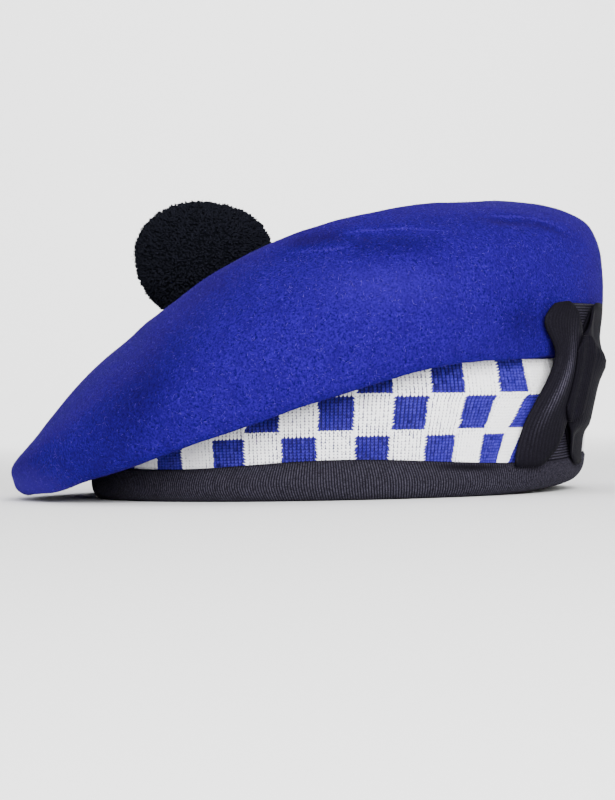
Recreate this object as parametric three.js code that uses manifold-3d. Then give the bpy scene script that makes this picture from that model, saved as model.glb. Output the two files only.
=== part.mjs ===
import * as THREE from 'three';
import { mergeVertices } from 'three/addons/utils/BufferGeometryUtils.js';
import Module from 'manifold-3d';

// Balmoral bonnet standing on its headband, with the crown slouched to the wearer's right.
// Millimetres, +Z up. The brow faces -Y and the cockade sits on the wearer's left, +X.

// Head oval: the knitted wall's outer face, about the headband's axis
const HALF_WIDTH = 91.7;
const HALF_LENGTH = 100.7;
const TURN_STEPS = 60;

// Wall thicknesses, and the gap that neighbouring pieces keep
const FELT_WALL = 2.5;
const KNIT_WALL = 2.6;
const BINDING_WALL = 1.0;
const RIBBON_WALL = 0.9;
const SEAM_GAP = 0.3;

// Headband: a ribbon folded over the knitted wall's lower edge
const BAND_HEIGHT = 14.2;
const BAND_DIP = 2.8;
const BAND_INNER_HEIGHT = 12.4;
const BAND_FLOOR = 1.4;
const BAND_BULGE = 0.4;
const CORNER_DROP = 3.0;
const CORNER_EASE = 0.5;
const CORNER_INSET = 1.5;
const EDGE_LIFT = 5;
const EDGE_LEAN = 4;
const LIFT_FOLD = 62;

// Diced band
const KNIT_PUFF = 1.3;
const KNIT_STEPS = 5;

// Crown: the toorie's seat in the middle of its dished top, leaning with the slouch
const SEAT = new THREE.Vector3(-47.3, 0, 68.6);
const SEAT_TILT = THREE.MathUtils.degToRad(-9);
const DISH_SHARE = 0.25;
const TUCK_OUT = 1.2;
const TUCK_UP = 1.6;

// Crown sections by fold angle: 0 at the cockade side, 180 at the slouched tip, front and back
// alike. "Out" is measured from the head oval, "up" from the floor. The ridge lies at a share of
// the way from the seat to the rim.
const CROWN_SECTIONS = [
  { at: 0, ridgeShare: 0.71, ridgeUp: 108,
    shoulderOut: 2.6, shoulderUp: 100.5, rimOut: 8.6, rimUp: 86,
    lipOut: 7.5, lipUp: 57, underOut: 6, underUp: 54, joinOut: 4, joinUp: 49.2 },
  { at: 45, ridgeShare: 0.7, ridgeUp: 106.3,
    shoulderOut: 3, shoulderUp: 95.5, rimOut: 12, rimUp: 72,
    lipOut: 8, lipUp: 49.4, underOut: 5.6, underUp: 48.6, joinOut: 2, joinUp: 48.6 },
  { at: 70, ridgeShare: 0.68, ridgeUp: 101.4,
    shoulderOut: 6, shoulderUp: 90, rimOut: 17, rimUp: 66,
    lipOut: 13, lipUp: 46.5, underOut: 7, underUp: 48, joinOut: 0.5, joinUp: 48.8 },
  { at: 90, ridgeShare: 0.64, ridgeUp: 93.8,
    shoulderOut: 12, shoulderUp: 79.5, rimOut: 22, rimUp: 58,
    lipOut: 17, lipUp: 37, underOut: 7, underUp: 45, joinOut: 0, joinUp: 49.4 },
  { at: 112, ridgeShare: 0.6, ridgeUp: 80.5,
    shoulderOut: 17, shoulderUp: 63, rimOut: 26, rimUp: 43,
    lipOut: 20, lipUp: 23.5, underOut: 8, underUp: 41, joinOut: -0.8, joinUp: 48.6 },
  { at: 135, ridgeShare: 0.55, ridgeUp: 63.5,
    shoulderOut: 22, shoulderUp: 41, rimOut: 30, rimUp: 25,
    lipOut: 23, lipUp: 11, underOut: 9, underUp: 35, joinOut: -2, joinUp: 45 },
  { at: 180, ridgeShare: 0.5, ridgeUp: 52.4,
    shoulderOut: 23, shoulderUp: 21.6, rimOut: 32.6, rimUp: 9.5,
    lipOut: 25, lipUp: 1.8, underOut: 9.5, underUp: 28, joinOut: -3.4, joinUp: 39.5 },
];
const SPAN_STEPS = [2, 4, 4, 4, 3, 3, 2, 1];

// Toorie: a trimmed wool ball of locks round a core, lopsided over its flat base on the seat
const TOORIE_RADIUS = 27.4;
const TOORIE_HALF_HEIGHT = 23.2;
const TOORIE_LEAN = THREE.MathUtils.degToRad(21);
const TOORIE_BASE = 19.7;
const CORE_SHARE = 0.97;
const LOCK_COUNT = 46;
const LOCK_RADIUS = 6.2;
const LOCK_DEPTH = 6.6;
const LOCK_SPREAD = 0.6;

// Cockade: a ribbon bow on the side wall, its loops towards the brow and the nape
const COCKADE_TURN = THREE.MathUtils.degToRad(-33);
const COCKADE_MIDDLE = 41;
const BRIDGE_FOOT = 22;
const BRIDGE_TOP = 56;
const SIDE_RADIUS = 97;
const TAB_PROUD = 0.75;
const TAB_WALL = 0.8;
const TAB_HALF_WIDTH = 12;
const TAB_LIFT = 0.6;
const TAB_HEAD = 68.2;
const TAB_SHARES = [1, 0.5, 0, -0.5, -1];
const WAIST_UP = 48.5;
const WAIST_SPREAD_ABOVE = 9;
const WAIST_SPREAD_BELOW = 20;
const KNOT_HALF_WIDTH = 6.5;
const KNOT_HALF_HEIGHT = 15.6;
const KNOT_WALL = 1.1;
const KNOT_ROUNDING = 0.6;
const KNOT_LIFT = 0.6;
const KNOT_SHARES = [1, 0.6, 0.2, 0, -0.2, -0.6, -1];

// One row per station of a loop, from the knot out along the front layer, round the fold edge
// and back along the return layer: distance along the side, how proud it stands, and the
// heights of its lower and upper edges
const LOOP_STATIONS = [
  { along: 0.6, proud: 4.4, low: 25.4, high: 56.6 },
  { along: 4, proud: 5.6, low: 20.5, high: 60.5 },
  { along: 8, proud: 6.3, low: 15, high: 65.6 },
  { along: 14, proud: 6.2, low: 10.4, high: 68.5 },
  { along: 20, proud: 5.2, low: 10, high: 68.4 },
  { along: 22.8, proud: 4.3, low: 10, high: 68.2 },
  { along: 24, proud: 3.1, low: 10.2, high: 68 },
  { along: 22.8, proud: 2.25, low: 10.4, high: 67.8 },
  { along: 16, proud: 2.05, low: 11, high: 67.2 },
  { along: 9, proud: 1.95, low: 17, high: 64.5 },
  { along: 2, proud: 1.9, low: 27, high: 55 },
];
const SPLAY_HALF = 27.5;
const RIBBON_STEPS = 12;

// Each loop swells between its edges, away from the knot, and its fold edge is pinched to a waist
// and splayed below.
const FRONT_LOOP = { side: 1, fullness: frontFullness, swell: 1, edgeSwell: 0.6, waist: 9, splay: 3 };
const REAR_LOOP = { side: -1, fullness: rearFullness, swell: 1.55, edgeSwell: 0.12, waist: 2, splay: 0 };
const SWELL_START = 12;

const FELT = new THREE.MeshStandardMaterial({ color: 0x2a339f, roughness: 0.95, metalness: 0 });
const KNIT = new THREE.MeshStandardMaterial({ color: 0x9aa0cf, roughness: 0.9, metalness: 0 });
const RIBBON = new THREE.MeshStandardMaterial({ color: 0x2d2b37, roughness: 0.6, metalness: 0 });
const YARN = new THREE.MeshStandardMaterial({ color: 0x151824, roughness: 1, metalness: 0 });

const { cos, sin, tan, abs, max, min, PI, exp, sqrt } = Math;
const turns = Array.from({ length: TURN_STEPS }, (_, step) => (step / TURN_STEPS) * 2 * PI);

function foldAngle(turn) {
  return abs(THREE.MathUtils.radToDeg(Math.atan2(sin(turn), cos(turn))));
}

function ovalPoint(turn, out, up) {
  return new THREE.Vector3((HALF_WIDTH + out) * cos(turn), (HALF_LENGTH + out) * sin(turn), up);
}

// Blend the rows of a table at any place along its key column, level at both ends.
function smoothTable(rows, key) {
  const columns = Object.keys(rows[0]).filter((column) => column !== key);
  const places = rows.map((row) => row[key]);
  const values = rows.flatMap((row) => columns.map((column) => row[column]));
  const curve = new THREE.CubicInterpolant(places, values, columns.length);
  curve.settings = { endingStart: THREE.ZeroSlopeEnding, endingEnd: THREE.ZeroSlopeEnding };
  return (place) => {
    const blended = curve.evaluate(place);
    return Object.fromEntries(columns.map((column, index) => [column, blended[index]]));
  };
}

function signedVolume(corners) {
  let volume = 0;
  for (let i = 0; i < corners.length; i += 3) {
    volume += corners[i].dot(corners[i + 1].clone().cross(corners[i + 2])) / 6;
  }
  return volume;
}

// Skin closed rings of equal count into one closed body. Rings either wrap round to the first
// one, or end in flat strips between each ring's outward and returning halves.
function loft(rings, wraps) {
  const corners = [];
  const count = rings[0].length;
  const addFace = (a, b, c) => {
    if (!a.equals(b) && !b.equals(c) && !c.equals(a)) corners.push(a, b, c);
  };
  const addQuad = (a, b, c, d) => {
    addFace(a, b, c);
    addFace(a, c, d);
  };
  const bays = wraps ? rings.length : rings.length - 1;
  for (let k = 0; k < bays; k += 1) {
    const ring = rings[k];
    const next = rings[(k + 1) % rings.length];
    for (let j = 0; j < count; j += 1) {
      const after = (j + 1) % count;
      addQuad(ring[j], ring[after], next[after], next[j]);
    }
  }
  if (!wraps) {
    const first = rings[0];
    const last = rings[rings.length - 1];
    for (let j = 0; j < count / 2 - 1; j += 1) {
      const across = count - 1 - j;
      addQuad(first[j + 1], first[j], first[across], first[across - 1]);
      addQuad(last[j], last[j + 1], last[across - 1], last[across]);
    }
  }
  if (signedVolume(corners) < 0) corners.reverse();
  const geometry = new THREE.BufferGeometry().setFromPoints(corners);
  geometry.computeVertexNormals();
  return geometry;
}

const crownSection = smoothTable(CROWN_SECTIONS, 'at');

// Headband section: down the outer leaf, under the flat rest strip, up the inner leaf, and back
// through the slot that holds the knitted wall
function bandTop(turn) {
  return BAND_HEIGHT - BAND_DIP * sin(2 * turn) ** 2;
}

// The lower edge rises and leans in on the cockade side; heights below the band's top are
// squeezed to suit.
function edgeEase(turn) {
  return cos((min(foldAngle(turn) / LIFT_FOLD, 1) * PI) / 2) ** 2;
}

function edgePoint(turn, out, up) {
  const lift = EDGE_LIFT * edgeEase(turn);
  const lean = EDGE_LEAN * edgeEase(turn);
  const share = min(up / bandTop(turn), 1);
  return ovalPoint(turn, out - lean * (1 - share), up + lift * (1 - share));
}

function headbandRing(turn) {
  const outer = SEAM_GAP + BINDING_WALL;
  const inner = -KNIT_WALL - SEAM_GAP - BINDING_WALL;
  const top = bandTop(turn);
  const section = [
    [outer, top],
    [outer + BAND_BULGE, top / 2],
    [outer, CORNER_DROP],
    [outer - CORNER_EASE, CORNER_DROP / 3],
    [outer - CORNER_INSET, 0],
    [inner + CORNER_INSET, 0],
    [inner + CORNER_EASE, CORNER_DROP / 3],
    [inner, CORNER_DROP],
    [inner, BAND_INNER_HEIGHT],
    [inner + BINDING_WALL, BAND_INNER_HEIGHT],
    [inner + BINDING_WALL, BAND_FLOOR],
    [outer - BINDING_WALL, BAND_FLOOR],
    [outer - BINDING_WALL, top],
  ];
  return section.map(([out, up]) => edgePoint(turn, out, up));
}

// Diced band: a plain wall that puffs a little and leans to meet the crown's seam
function knitFace(turn, up) {
  const { joinOut, joinUp } = crownSection(foldAngle(turn));
  const share = THREE.MathUtils.clamp((up - BAND_HEIGHT) / (joinUp - BAND_HEIGHT), 0, 1);
  return joinOut * share ** 2 + KNIT_PUFF * sin(PI * share);
}

function dicedBandRing(turn) {
  const foot = BAND_FLOOR + SEAM_GAP;
  const top = crownSection(foldAngle(turn)).joinUp - SEAM_GAP;
  const heights = [foot, bandTop(turn)];
  for (let step = 1; step <= KNIT_STEPS - 1; step += 1) {
    heights.push(BAND_HEIGHT + ((top - BAND_HEIGHT) * step) / (KNIT_STEPS - 1));
  }
  const wall = (inset) => heights.map((up) => edgePoint(turn, knitFace(turn, up) - inset, up));
  return [...wall(0).reverse(), ...wall(KNIT_WALL)];
}

// Crown: one felt wall, from the seat out over the ridge, down to the rim, and under to the seam
function crownProfile(turn) {
  const section = crownSection(foldAngle(turn));
  const rim = ovalPoint(turn, section.rimOut, section.rimUp);
  const ridge = SEAT.clone().lerp(rim, section.ridgeShare).setZ(section.ridgeUp);
  const dish = SEAT.clone().lerp(rim, section.ridgeShare * DISH_SHARE);
  dish.z = SEAT.z + (SEAT.x - dish.x) * tan(SEAT_TILT);
  const knots = [
    SEAT,
    dish,
    ridge,
    ovalPoint(turn, section.shoulderOut, section.shoulderUp),
    rim,
    ovalPoint(turn, section.lipOut, section.lipUp),
    ovalPoint(turn, section.underOut, section.underUp),
    ovalPoint(turn, section.joinOut + TUCK_OUT, section.joinUp + TUCK_UP),
    ovalPoint(turn, section.joinOut, section.joinUp),
  ];
  const curve = new THREE.CatmullRomCurve3(knots);
  const points = [];
  SPAN_STEPS.forEach((steps, span) => {
    for (let step = 0; step < steps; step += 1) {
      points.push(curve.getPoint((span + step / steps) / SPAN_STEPS.length));
    }
  });
  points.push(knots[knots.length - 1]);
  return points;
}

function crownRings() {
  const outer = turns.map(crownProfile);
  const last = outer[0].length - 1;
  const normals = outer.map((profile, k) => profile.map((_, j) => {
    const along = profile[min(j + 1, last)].clone().sub(profile[max(j - 1, 0)]);
    const before = outer[(k + TURN_STEPS - 1) % TURN_STEPS][max(j, 1)];
    const after = outer[(k + 1) % TURN_STEPS][max(j, 1)];
    return along.cross(after.clone().sub(before)).normalize();
  }));
  const seatNormal = normals.reduce((sum, row) => sum.add(row[0]), new THREE.Vector3()).normalize();
  return outer.map((profile, k) => {
    const inner = profile.map((point, j) => (
      point.clone().addScaledVector(j === 0 ? seatNormal : normals[k][j], -FELT_WALL)));
    const { joinOut, joinUp } = crownSection(foldAngle(turns[k]));
    inner[last] = ovalPoint(turns[k], joinOut - FELT_WALL, joinUp);
    return [...profile, ...inner.reverse()];
  });
}

// Toorie: locks on an even spiral, fused to the core
const wasm = await Module();
wasm.setup();

function toSolid(geometry) {
  const bare = geometry.clone();
  bare.deleteAttribute('normal');
  bare.deleteAttribute('uv');
  const merged = mergeVertices(bare);
  return new wasm.Manifold(new wasm.Mesh({
    numProp: 3,
    vertProperties: new Float32Array(merged.getAttribute('position').array),
    triVerts: new Uint32Array(merged.getIndex().array),
  }));
}

function toGeometry(solid) {
  const mesh = solid.getMesh();
  const geometry = new THREE.BufferGeometry();
  geometry.setAttribute('position', new THREE.BufferAttribute(mesh.vertProperties, 3));
  geometry.setIndex(new THREE.BufferAttribute(mesh.triVerts, 1));
  geometry.computeVertexNormals();
  return geometry;
}

function toorieGeometry() {
  const core = new THREE.SphereGeometry(1, 14, 9).rotateX(PI / 2);
  core.scale(TOORIE_RADIUS * CORE_SHARE, TOORIE_RADIUS * CORE_SHARE, TOORIE_HALF_HEIGHT * CORE_SHARE);
  core.rotateY(TOORIE_LEAN);
  const places = core.getAttribute('position');
  for (let i = 0; i < places.count; i += 1) {
    places.setZ(i, max(places.getZ(i), -TOORIE_BASE));
  }
  let ball = toSolid(core);
  const goldenTurn = PI * (3 - sqrt(5));
  const lean = new THREE.Quaternion().setFromAxisAngle(new THREE.Vector3(0, 1, 0), TOORIE_LEAN);
  for (let lock = 0; lock < LOCK_COUNT; lock += 1) {
    const rise = 1 - (2 * lock + 1) / LOCK_COUNT;
    const reach = sqrt(1 - rise * rise);
    const way = new THREE.Vector3(reach * cos(lock * goldenTurn), reach * sin(lock * goldenTurn), rise);
    const spread = LOCK_SPREAD * sin(lock * goldenTurn * 3);
    const tip = way.clone().multiply(new THREE.Vector3(TOORIE_RADIUS, TOORIE_RADIUS, TOORIE_HALF_HEIGHT));
    tip.applyQuaternion(lean);
    way.applyQuaternion(lean);
    if (tip.z < LOCK_RADIUS - TOORIE_BASE) continue;
    const tuft = new THREE.SphereGeometry(1, 6, 4).scale(LOCK_RADIUS, LOCK_DEPTH, LOCK_RADIUS);
    tuft.translate(0, spread - LOCK_DEPTH, 0);
    tuft.applyQuaternion(new THREE.Quaternion().setFromUnitVectors(THREE.Object3D.DEFAULT_UP, way));
    tuft.translate(tip.x, tip.y, tip.z);
    ball = ball.add(toSolid(tuft));
  }
  return toGeometry(ball);
}

// Cockade: places on the side wall are given along it towards the brow, up, and proud of it.
// The ribbon leans out in one sweep from the knitted wall to the felt above it.
function feltOut(turn, up) {
  const wall = crownProfile(turn).reverse();
  const above = wall.findIndex((point) => point.z > up);
  const share = (up - wall[above - 1].z) / (wall[above].z - wall[above - 1].z);
  const across = THREE.MathUtils.lerp(wall[above - 1].x, wall[above].x, share);
  return across / cos(turn) - HALF_WIDTH;
}

function sideOut(turn, up) {
  const felt = feltOut(turn, max(up, BRIDGE_TOP));
  const share = THREE.MathUtils.smoothstep(up, BRIDGE_FOOT, BRIDGE_TOP);
  return THREE.MathUtils.lerp(knitFace(turn, up), felt, share);
}

function onSide(along, up, proud) {
  const turn = COCKADE_TURN - along / SIDE_RADIUS;
  return ovalPoint(turn, sideOut(turn, up) + proud, up);
}

// A ribbon ring: up the front face and back down the rear face, at each height across the ribbon
function ribbonRing(heights, front, back) {
  return [...heights.map(front), ...[...heights].reverse().map(back)];
}

function evenHeights(low, high) {
  return Array.from({ length: RIBBON_STEPS + 1 }, (_, step) => low + ((high - low) * step) / RIBBON_STEPS);
}

function tabGeometry() {
  const rings = TAB_SHARES.map((share) => {
    const along = share * TAB_HALF_WIDTH;
    const foot = bandTop(COCKADE_TURN - along / SIDE_RADIUS) + TAB_LIFT;
    return ribbonRing(
      evenHeights(foot, TAB_HEAD),
      (up) => onSide(along, up, TAB_PROUD + TAB_WALL / 2),
      (up) => onSide(along, up, TAB_PROUD - TAB_WALL / 2),
    );
  });
  return loft(rings, false);
}

// How full a loop is at each height: the front one is evenly rounded, and the rear one has a
// creased peak over a shelf that stops short of its foot.
function frontFullness(up) {
  return exp(-(((up - 38) / 14) ** 2));
}

function rearFullness(up) {
  const rise = THREE.MathUtils.smoothstep(up, 19.5, 25.5);
  const fall = 1 - 0.9 * THREE.MathUtils.smoothstep(up, 44, 62);
  const peak = exp(-(((up - 45.3) / 4.6) ** 2));
  return rise * fall * (0.62 + 0.42 * peak);
}

// The front layer stands prouder where the loop swells; the return layer stays down on the tab.
function loopProud(station, up, { fullness, swell, edgeSwell }) {
  const rest = LOOP_STATIONS[LOOP_STATIONS.length - 1].proud;
  const away = THREE.MathUtils.smoothstep(station.along, 0, SWELL_START);
  const shape = THREE.MathUtils.lerp(1, edgeSwell + (swell - edgeSwell) * fullness(up), away);
  return rest + (station.proud - rest) * shape;
}

function loopGeometry(loop) {
  const reach = max(...LOOP_STATIONS.map((station) => station.along));
  const place = (station, up) => {
    const share = (station.along / reach) ** 2;
    const spread = up > WAIST_UP ? WAIST_SPREAD_ABOVE : WAIST_SPREAD_BELOW;
    const pinch = exp(-(((up - WAIST_UP) / spread) ** 2));
    const splay = (COCKADE_MIDDLE - up) / SPLAY_HALF;
    const along = station.along + share * (loop.splay * splay - loop.waist * pinch);
    return new THREE.Vector2(along, loopProud(station, up, loop));
  };
  const rings = LOOP_STATIONS.map((station, k) => {
    const before = LOOP_STATIONS[max(k - 1, 0)];
    const after = LOOP_STATIONS[min(k + 1, LOOP_STATIONS.length - 1)];
    const face = (up, sign) => {
      const way = place(after, up).sub(place(before, up)).normalize();
      const spot = place(station, up);
      const along = spot.x - (sign * way.y * RIBBON_WALL) / 2;
      const proud = spot.y + (sign * way.x * RIBBON_WALL) / 2;
      return onSide(loop.side * along, up, proud);
    };
    return ribbonRing(
      evenHeights(station.low, station.high),
      (up) => face(up, 1),
      (up) => face(up, -1),
    );
  });
  return loft(rings, false);
}

// Knot: a pad of ribbon lying over both loops' pinched ends
function knotGeometry() {
  const frontPath = LOOP_STATIONS.slice(0, 4);
  const under = (along, up) => {
    const loop = along < 0 ? REAR_LOOP : FRONT_LOOP;
    const next = max(1, frontPath.findIndex((station) => station.along >= abs(along)));
    const [from, to] = frontPath.slice(next - 1, next + 1);
    const share = THREE.MathUtils.clamp((abs(along) - from.along) / (to.along - from.along), 0, 1);
    const proud = THREE.MathUtils.lerp(loopProud(from, up, loop), loopProud(to, up, loop), share);
    return proud + RIBBON_WALL / 2 + KNOT_LIFT;
  };
  const rings = KNOT_SHARES.map((share) => {
    const half = KNOT_HALF_HEIGHT * sqrt(1 - KNOT_ROUNDING * share * share);
    const along = share * KNOT_HALF_WIDTH;
    return ribbonRing(
      evenHeights(COCKADE_MIDDLE - half, COCKADE_MIDDLE + half),
      (up) => onSide(along, up, under(along, up) + KNOT_WALL),
      (up) => onSide(along, up, under(along, up)),
    );
  });
  return loft(rings, false);
}

function addPiece(group, name, geometry, material) {
  const piece = new THREE.Mesh(geometry, material);
  piece.name = name;
  group.add(piece);
  return piece;
}

const bonnet = new THREE.Group();
addPiece(bonnet, 'crown', loft(crownRings(), true), FELT);
addPiece(bonnet, 'diced_band', loft(turns.map(dicedBandRing), true), KNIT);
addPiece(bonnet, 'headband', loft(turns.map(headbandRing), true), RIBBON);
addPiece(bonnet, 'cockade_tab', tabGeometry(), RIBBON);
addPiece(bonnet, 'cockade_front_loop', loopGeometry(FRONT_LOOP), RIBBON);
addPiece(bonnet, 'cockade_rear_loop', loopGeometry(REAR_LOOP), RIBBON);
addPiece(bonnet, 'cockade_knot', knotGeometry(), RIBBON);

const toorie = addPiece(bonnet, 'toorie', toorieGeometry(), YARN);
toorie.rotation.y = SEAT_TILT;
const seatWay = new THREE.Vector3(0, 0, 1).applyEuler(toorie.rotation);
toorie.position.copy(SEAT).addScaledVector(seatWay, TOORIE_BASE + SEAM_GAP);

// The frame's origin is the middle of the foot of the whole bonnet.
const bounds = new THREE.Box3().setFromObject(bonnet, true);
const middle = bounds.getCenter(new THREE.Vector3());
bonnet.position.set(-middle.x, -middle.y, -bounds.min.z);

export default bonnet;
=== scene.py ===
import math

import bmesh
import bpy
import numpy as np
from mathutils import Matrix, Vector, noise
from mathutils.bvhtree import BVHTree


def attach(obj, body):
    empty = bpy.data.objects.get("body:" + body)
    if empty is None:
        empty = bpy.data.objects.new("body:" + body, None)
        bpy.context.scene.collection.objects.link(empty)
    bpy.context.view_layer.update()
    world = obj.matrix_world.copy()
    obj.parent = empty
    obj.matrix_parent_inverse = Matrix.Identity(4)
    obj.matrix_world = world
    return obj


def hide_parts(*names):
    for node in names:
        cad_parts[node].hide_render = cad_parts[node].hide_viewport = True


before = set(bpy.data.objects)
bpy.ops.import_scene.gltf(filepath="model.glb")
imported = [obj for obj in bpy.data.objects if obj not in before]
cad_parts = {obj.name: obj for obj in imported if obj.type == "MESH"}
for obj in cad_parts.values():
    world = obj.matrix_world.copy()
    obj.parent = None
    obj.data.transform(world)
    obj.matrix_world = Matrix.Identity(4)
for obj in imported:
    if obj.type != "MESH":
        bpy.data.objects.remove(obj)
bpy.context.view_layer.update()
chance = np.random.default_rng(11)


# Headband: one black grosgrain ribbon, folded lengthwise over the foot of the knitted wall and
# sewn through it. Its ribs stand upright and turn under the soft fold that the bonnet rests on.
HALF_WIDTH = 91.7
HALF_LENGTH = 100.7
BAND_AXIS = 11.7
BAND_HEIGHT = 14.2
BAND_DIP = 2.8
EDGE_LIFT = 3.8
EDGE_LEAN = 4
LIFT_FOLD = math.radians(62)
RIB_PITCH = 1.0
RIB_RISE = 0.28
RIB_COLUMNS = 4
CREASE_TURN = math.radians(-61)
CREASE_SPREAD = math.radians(7)
CREASE_DEEP = 0.7
CREASE_SHARE = 0.84
CREASE_TALL = 0.06
CREASE_PAINTED_SHADE = 0.9
OUTER_FACE = 0.7
LIP_SHARE = 0.9
LIP_OUT = 0.9
LIP_DRAWN = 0.8
LIP_SPREAD = math.radians(22)


def on_oval(turn, out, up):
    """Places round the bonnet's oval, out from the knitted wall's face, and up."""
    x = BAND_AXIS + (HALF_WIDTH + out) * np.cos(turn)
    y = (HALF_LENGTH + out) * np.sin(turn)
    return np.stack(np.broadcast_arrays(x, y, up), axis=-1)


def bell(value, middle, spread):
    """1 at the middle, and falling away to both sides."""
    return np.exp(-(((value - middle) / spread) ** 2))


def band_top(turn):
    return BAND_HEIGHT - BAND_DIP * np.sin(2 * turn) ** 2


def on_band(turn, out, up):
    """Places on the oval, where the foot rises and leans in below the cockade."""
    fold = np.abs((turn + np.pi) % (2 * np.pi) - np.pi)
    ease = np.cos(np.minimum(fold / LIFT_FOLD, 1) * np.pi / 2) ** 2
    drop = ease * (1 - np.minimum(up / band_top(turn), 1))
    return on_oval(turn, out - EDGE_LEAN * drop, up + EDGE_LIFT * drop)


def grid_quads(rows, columns, ring_rows=False, ring_columns=False):
    """Quads over points stored row by row, closed on themselves where asked."""
    row, column = np.meshgrid(
        np.arange(rows if ring_rows else rows - 1),
        np.arange(columns if ring_columns else columns - 1),
        indexing="ij",
    )
    next_row = (row + 1) % rows
    next_column = (column + 1) % columns
    corners = [
        row * columns + column,
        row * columns + next_column,
        next_row * columns + next_column,
        next_row * columns + column,
    ]
    return np.stack(corners, axis=-1).reshape(-1, 4)


def build_piece(name, points, quads, material, node=None, shades=None):
    """A smooth mesh of quads that rides on the bonnet's one body, with shades for its material."""
    mesh = bpy.data.meshes.new(name)
    places = np.asarray(points, np.float32).reshape(-1, 3) * 0.001
    mesh.vertices.add(len(places))
    mesh.vertices.foreach_set("co", places.ravel())
    mesh.loops.add(quads.size)
    mesh.loops.foreach_set("vertex_index", quads.astype(np.int32).ravel())
    mesh.polygons.add(len(quads))
    mesh.polygons.foreach_set("loop_start", np.arange(0, quads.size, 4, dtype=np.int32))
    mesh.update(calc_edges=True)
    mesh.shade_smooth()
    for label, values in (shades or {}).items():
        shade = mesh.attributes.new(label, "FLOAT", "POINT")
        shade.data.foreach_set("value", np.asarray(values, np.float32))
    mesh.materials.append(material)
    piece = bpy.data.objects.new(name, mesh)
    bpy.context.scene.collection.objects.link(piece)
    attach(piece, "root")
    if node:
        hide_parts(node)


def linear(hex_colour):
    """The linear colour of an sRGB hex value."""
    parts = [int(hex_colour[i : i + 2], 16) / 255 for i in (1, 3, 5)]
    return [*(c / 12.92 if c <= 0.04045 else ((c + 0.055) / 1.055) ** 2.4 for c in parts), 1]


def bare_material(name):
    material = bpy.data.materials.new(name)
    material.use_nodes = True
    material.node_tree.nodes.clear()
    return material


def add_node(material, kind, sockets, **settings):
    """Adds a shader node. Each named socket takes a value or another node's output."""
    tree = material.node_tree
    node = tree.nodes.new(kind)
    for setting, value in settings.items():
        setattr(node, setting, value)
    for socket, value in sockets.items():
        if isinstance(value, bpy.types.NodeSocket):
            tree.links.new(value, node.inputs[socket])
        else:
            node.inputs[socket].default_value = value
    return node


def per_metre(size):
    """The texture scale that gives a pattern of this size in millimetres."""
    return 1000 / size


# Grosgrain, black, woven rayon on cotton cords: the warp lies over each cord as a low gloss ridge.
# The colour is painted lighter on the ridges as a painted highlight, and almost black in the hollows
# as painted shade.
grosgrain = bare_material("grosgrain_ribbon_woven")
place = add_node(grosgrain, "ShaderNodeTexCoord", {}).outputs["Object"]
painted_rib_light = add_node(grosgrain, "ShaderNodeAttribute", {}, attribute_name="painted_rib_light").outputs["Fac"]
# Warp threads are about 0.15 mm wide, and are drawn at 0.5 mm so that they show.
thread = add_node(
    grosgrain,
    "ShaderNodeTexNoise",
    {"Vector": place, "Scale": per_metre(0.5), "Detail": 3.0, "Roughness": 0.65},
).outputs["Fac"]
# Lint gathers in faint patches, about 9 mm across.
lint = add_node(
    grosgrain,
    "ShaderNodeTexNoise",
    {"Vector": place, "Scale": per_metre(9), "Detail": 2.0},
).outputs["Fac"]
narrow_ridge = add_node(
    grosgrain, "ShaderNodeMath", {0: painted_rib_light, 1: 2.5}, operation="POWER"
).outputs[0]
# Here and below, a noise's middle range is stretched until it runs from 0 to 1.
clear_thread = add_node(
    grosgrain, "ShaderNodeMapRange", {"Value": thread, "From Min": 0.3, "From Max": 0.7}
).outputs["Result"]
lit_ridge = add_node(
    grosgrain, "ShaderNodeMath", {0: narrow_ridge, 1: clear_thread}, operation="MULTIPLY"
).outputs[0]
faint_lint = add_node(
    grosgrain, "ShaderNodeMath", {0: lint, 1: 0.35}, operation="MULTIPLY"
).outputs[0]
# From painted shade in the hollows to a painted highlight on the ridges.
ribbon_colour = add_node(
    grosgrain,
    "ShaderNodeMix",
    {0: lit_ridge, 6: linear("#08070c"), 7: linear("#464350")},
    data_type="RGBA",
).outputs[2]
worn_colour = add_node(
    grosgrain,
    "ShaderNodeMix",
    {0: faint_lint, 6: ribbon_colour, 7: linear("#17151c")},
    data_type="RGBA",
).outputs[2]
thread_bump = add_node(
    grosgrain, "ShaderNodeBump", {"Strength": 0.25, "Distance": 0.0002, "Height": thread}
)
surface = add_node(
    grosgrain,
    "ShaderNodeBsdfPrincipled",
    {
        "Base Color": worn_colour,
        "Roughness": 0.6,
        "Specular IOR Level": 0.02,
        "Sheen Weight": 0.008,
        "Sheen Roughness": 0.5,
        "Sheen Tint": linear("#8f8d9c"),
        "Normal": thread_bump.outputs["Normal"],
    },
)
add_node(grosgrain, "ShaderNodeOutputMaterial", {"Surface": surface.outputs["BSDF"]})

# The folded section: out from the wall, share of the band's height, and how much of the rib shows.
BAND_SECTION = np.array(
    [
        [0.35, 0.95, 0.0],
        [0.60, 1.00, 0.2],
        [1.05, 1.00, 0.5],
        [1.32, 0.96, 0.9],
        [1.42, 0.86, 1.0],
        [1.74, 0.72, 1.0],
        [2.08, 0.58, 1.0],
        [2.20, 0.45, 1.0],
        [2.08, 0.33, 1.0],
        [1.78, 0.23, 1.0],
        [1.26, 0.14, 1.0],
        [0.56, 0.06, 0.9],
        [-0.35, 0.012, 0.5],
        [-1.30, 0.0, 0.0],
        [-2.20, 0.012, 0.5],
        [-3.00, 0.06, 0.9],
        [-3.60, 0.15, 1.0],
        [-3.90, 0.30, 1.0],
        [-3.95, 0.58, 1.0],
        [-3.88, 0.82, 0.9],
        [-3.60, 0.88, 0.5],
        [-3.20, 0.88, 0.2],
        [-2.95, 0.84, 0.0],
        [-2.90, 0.13, 0.0],
        [0.30, 0.13, 0.0],
    ]
)


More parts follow.
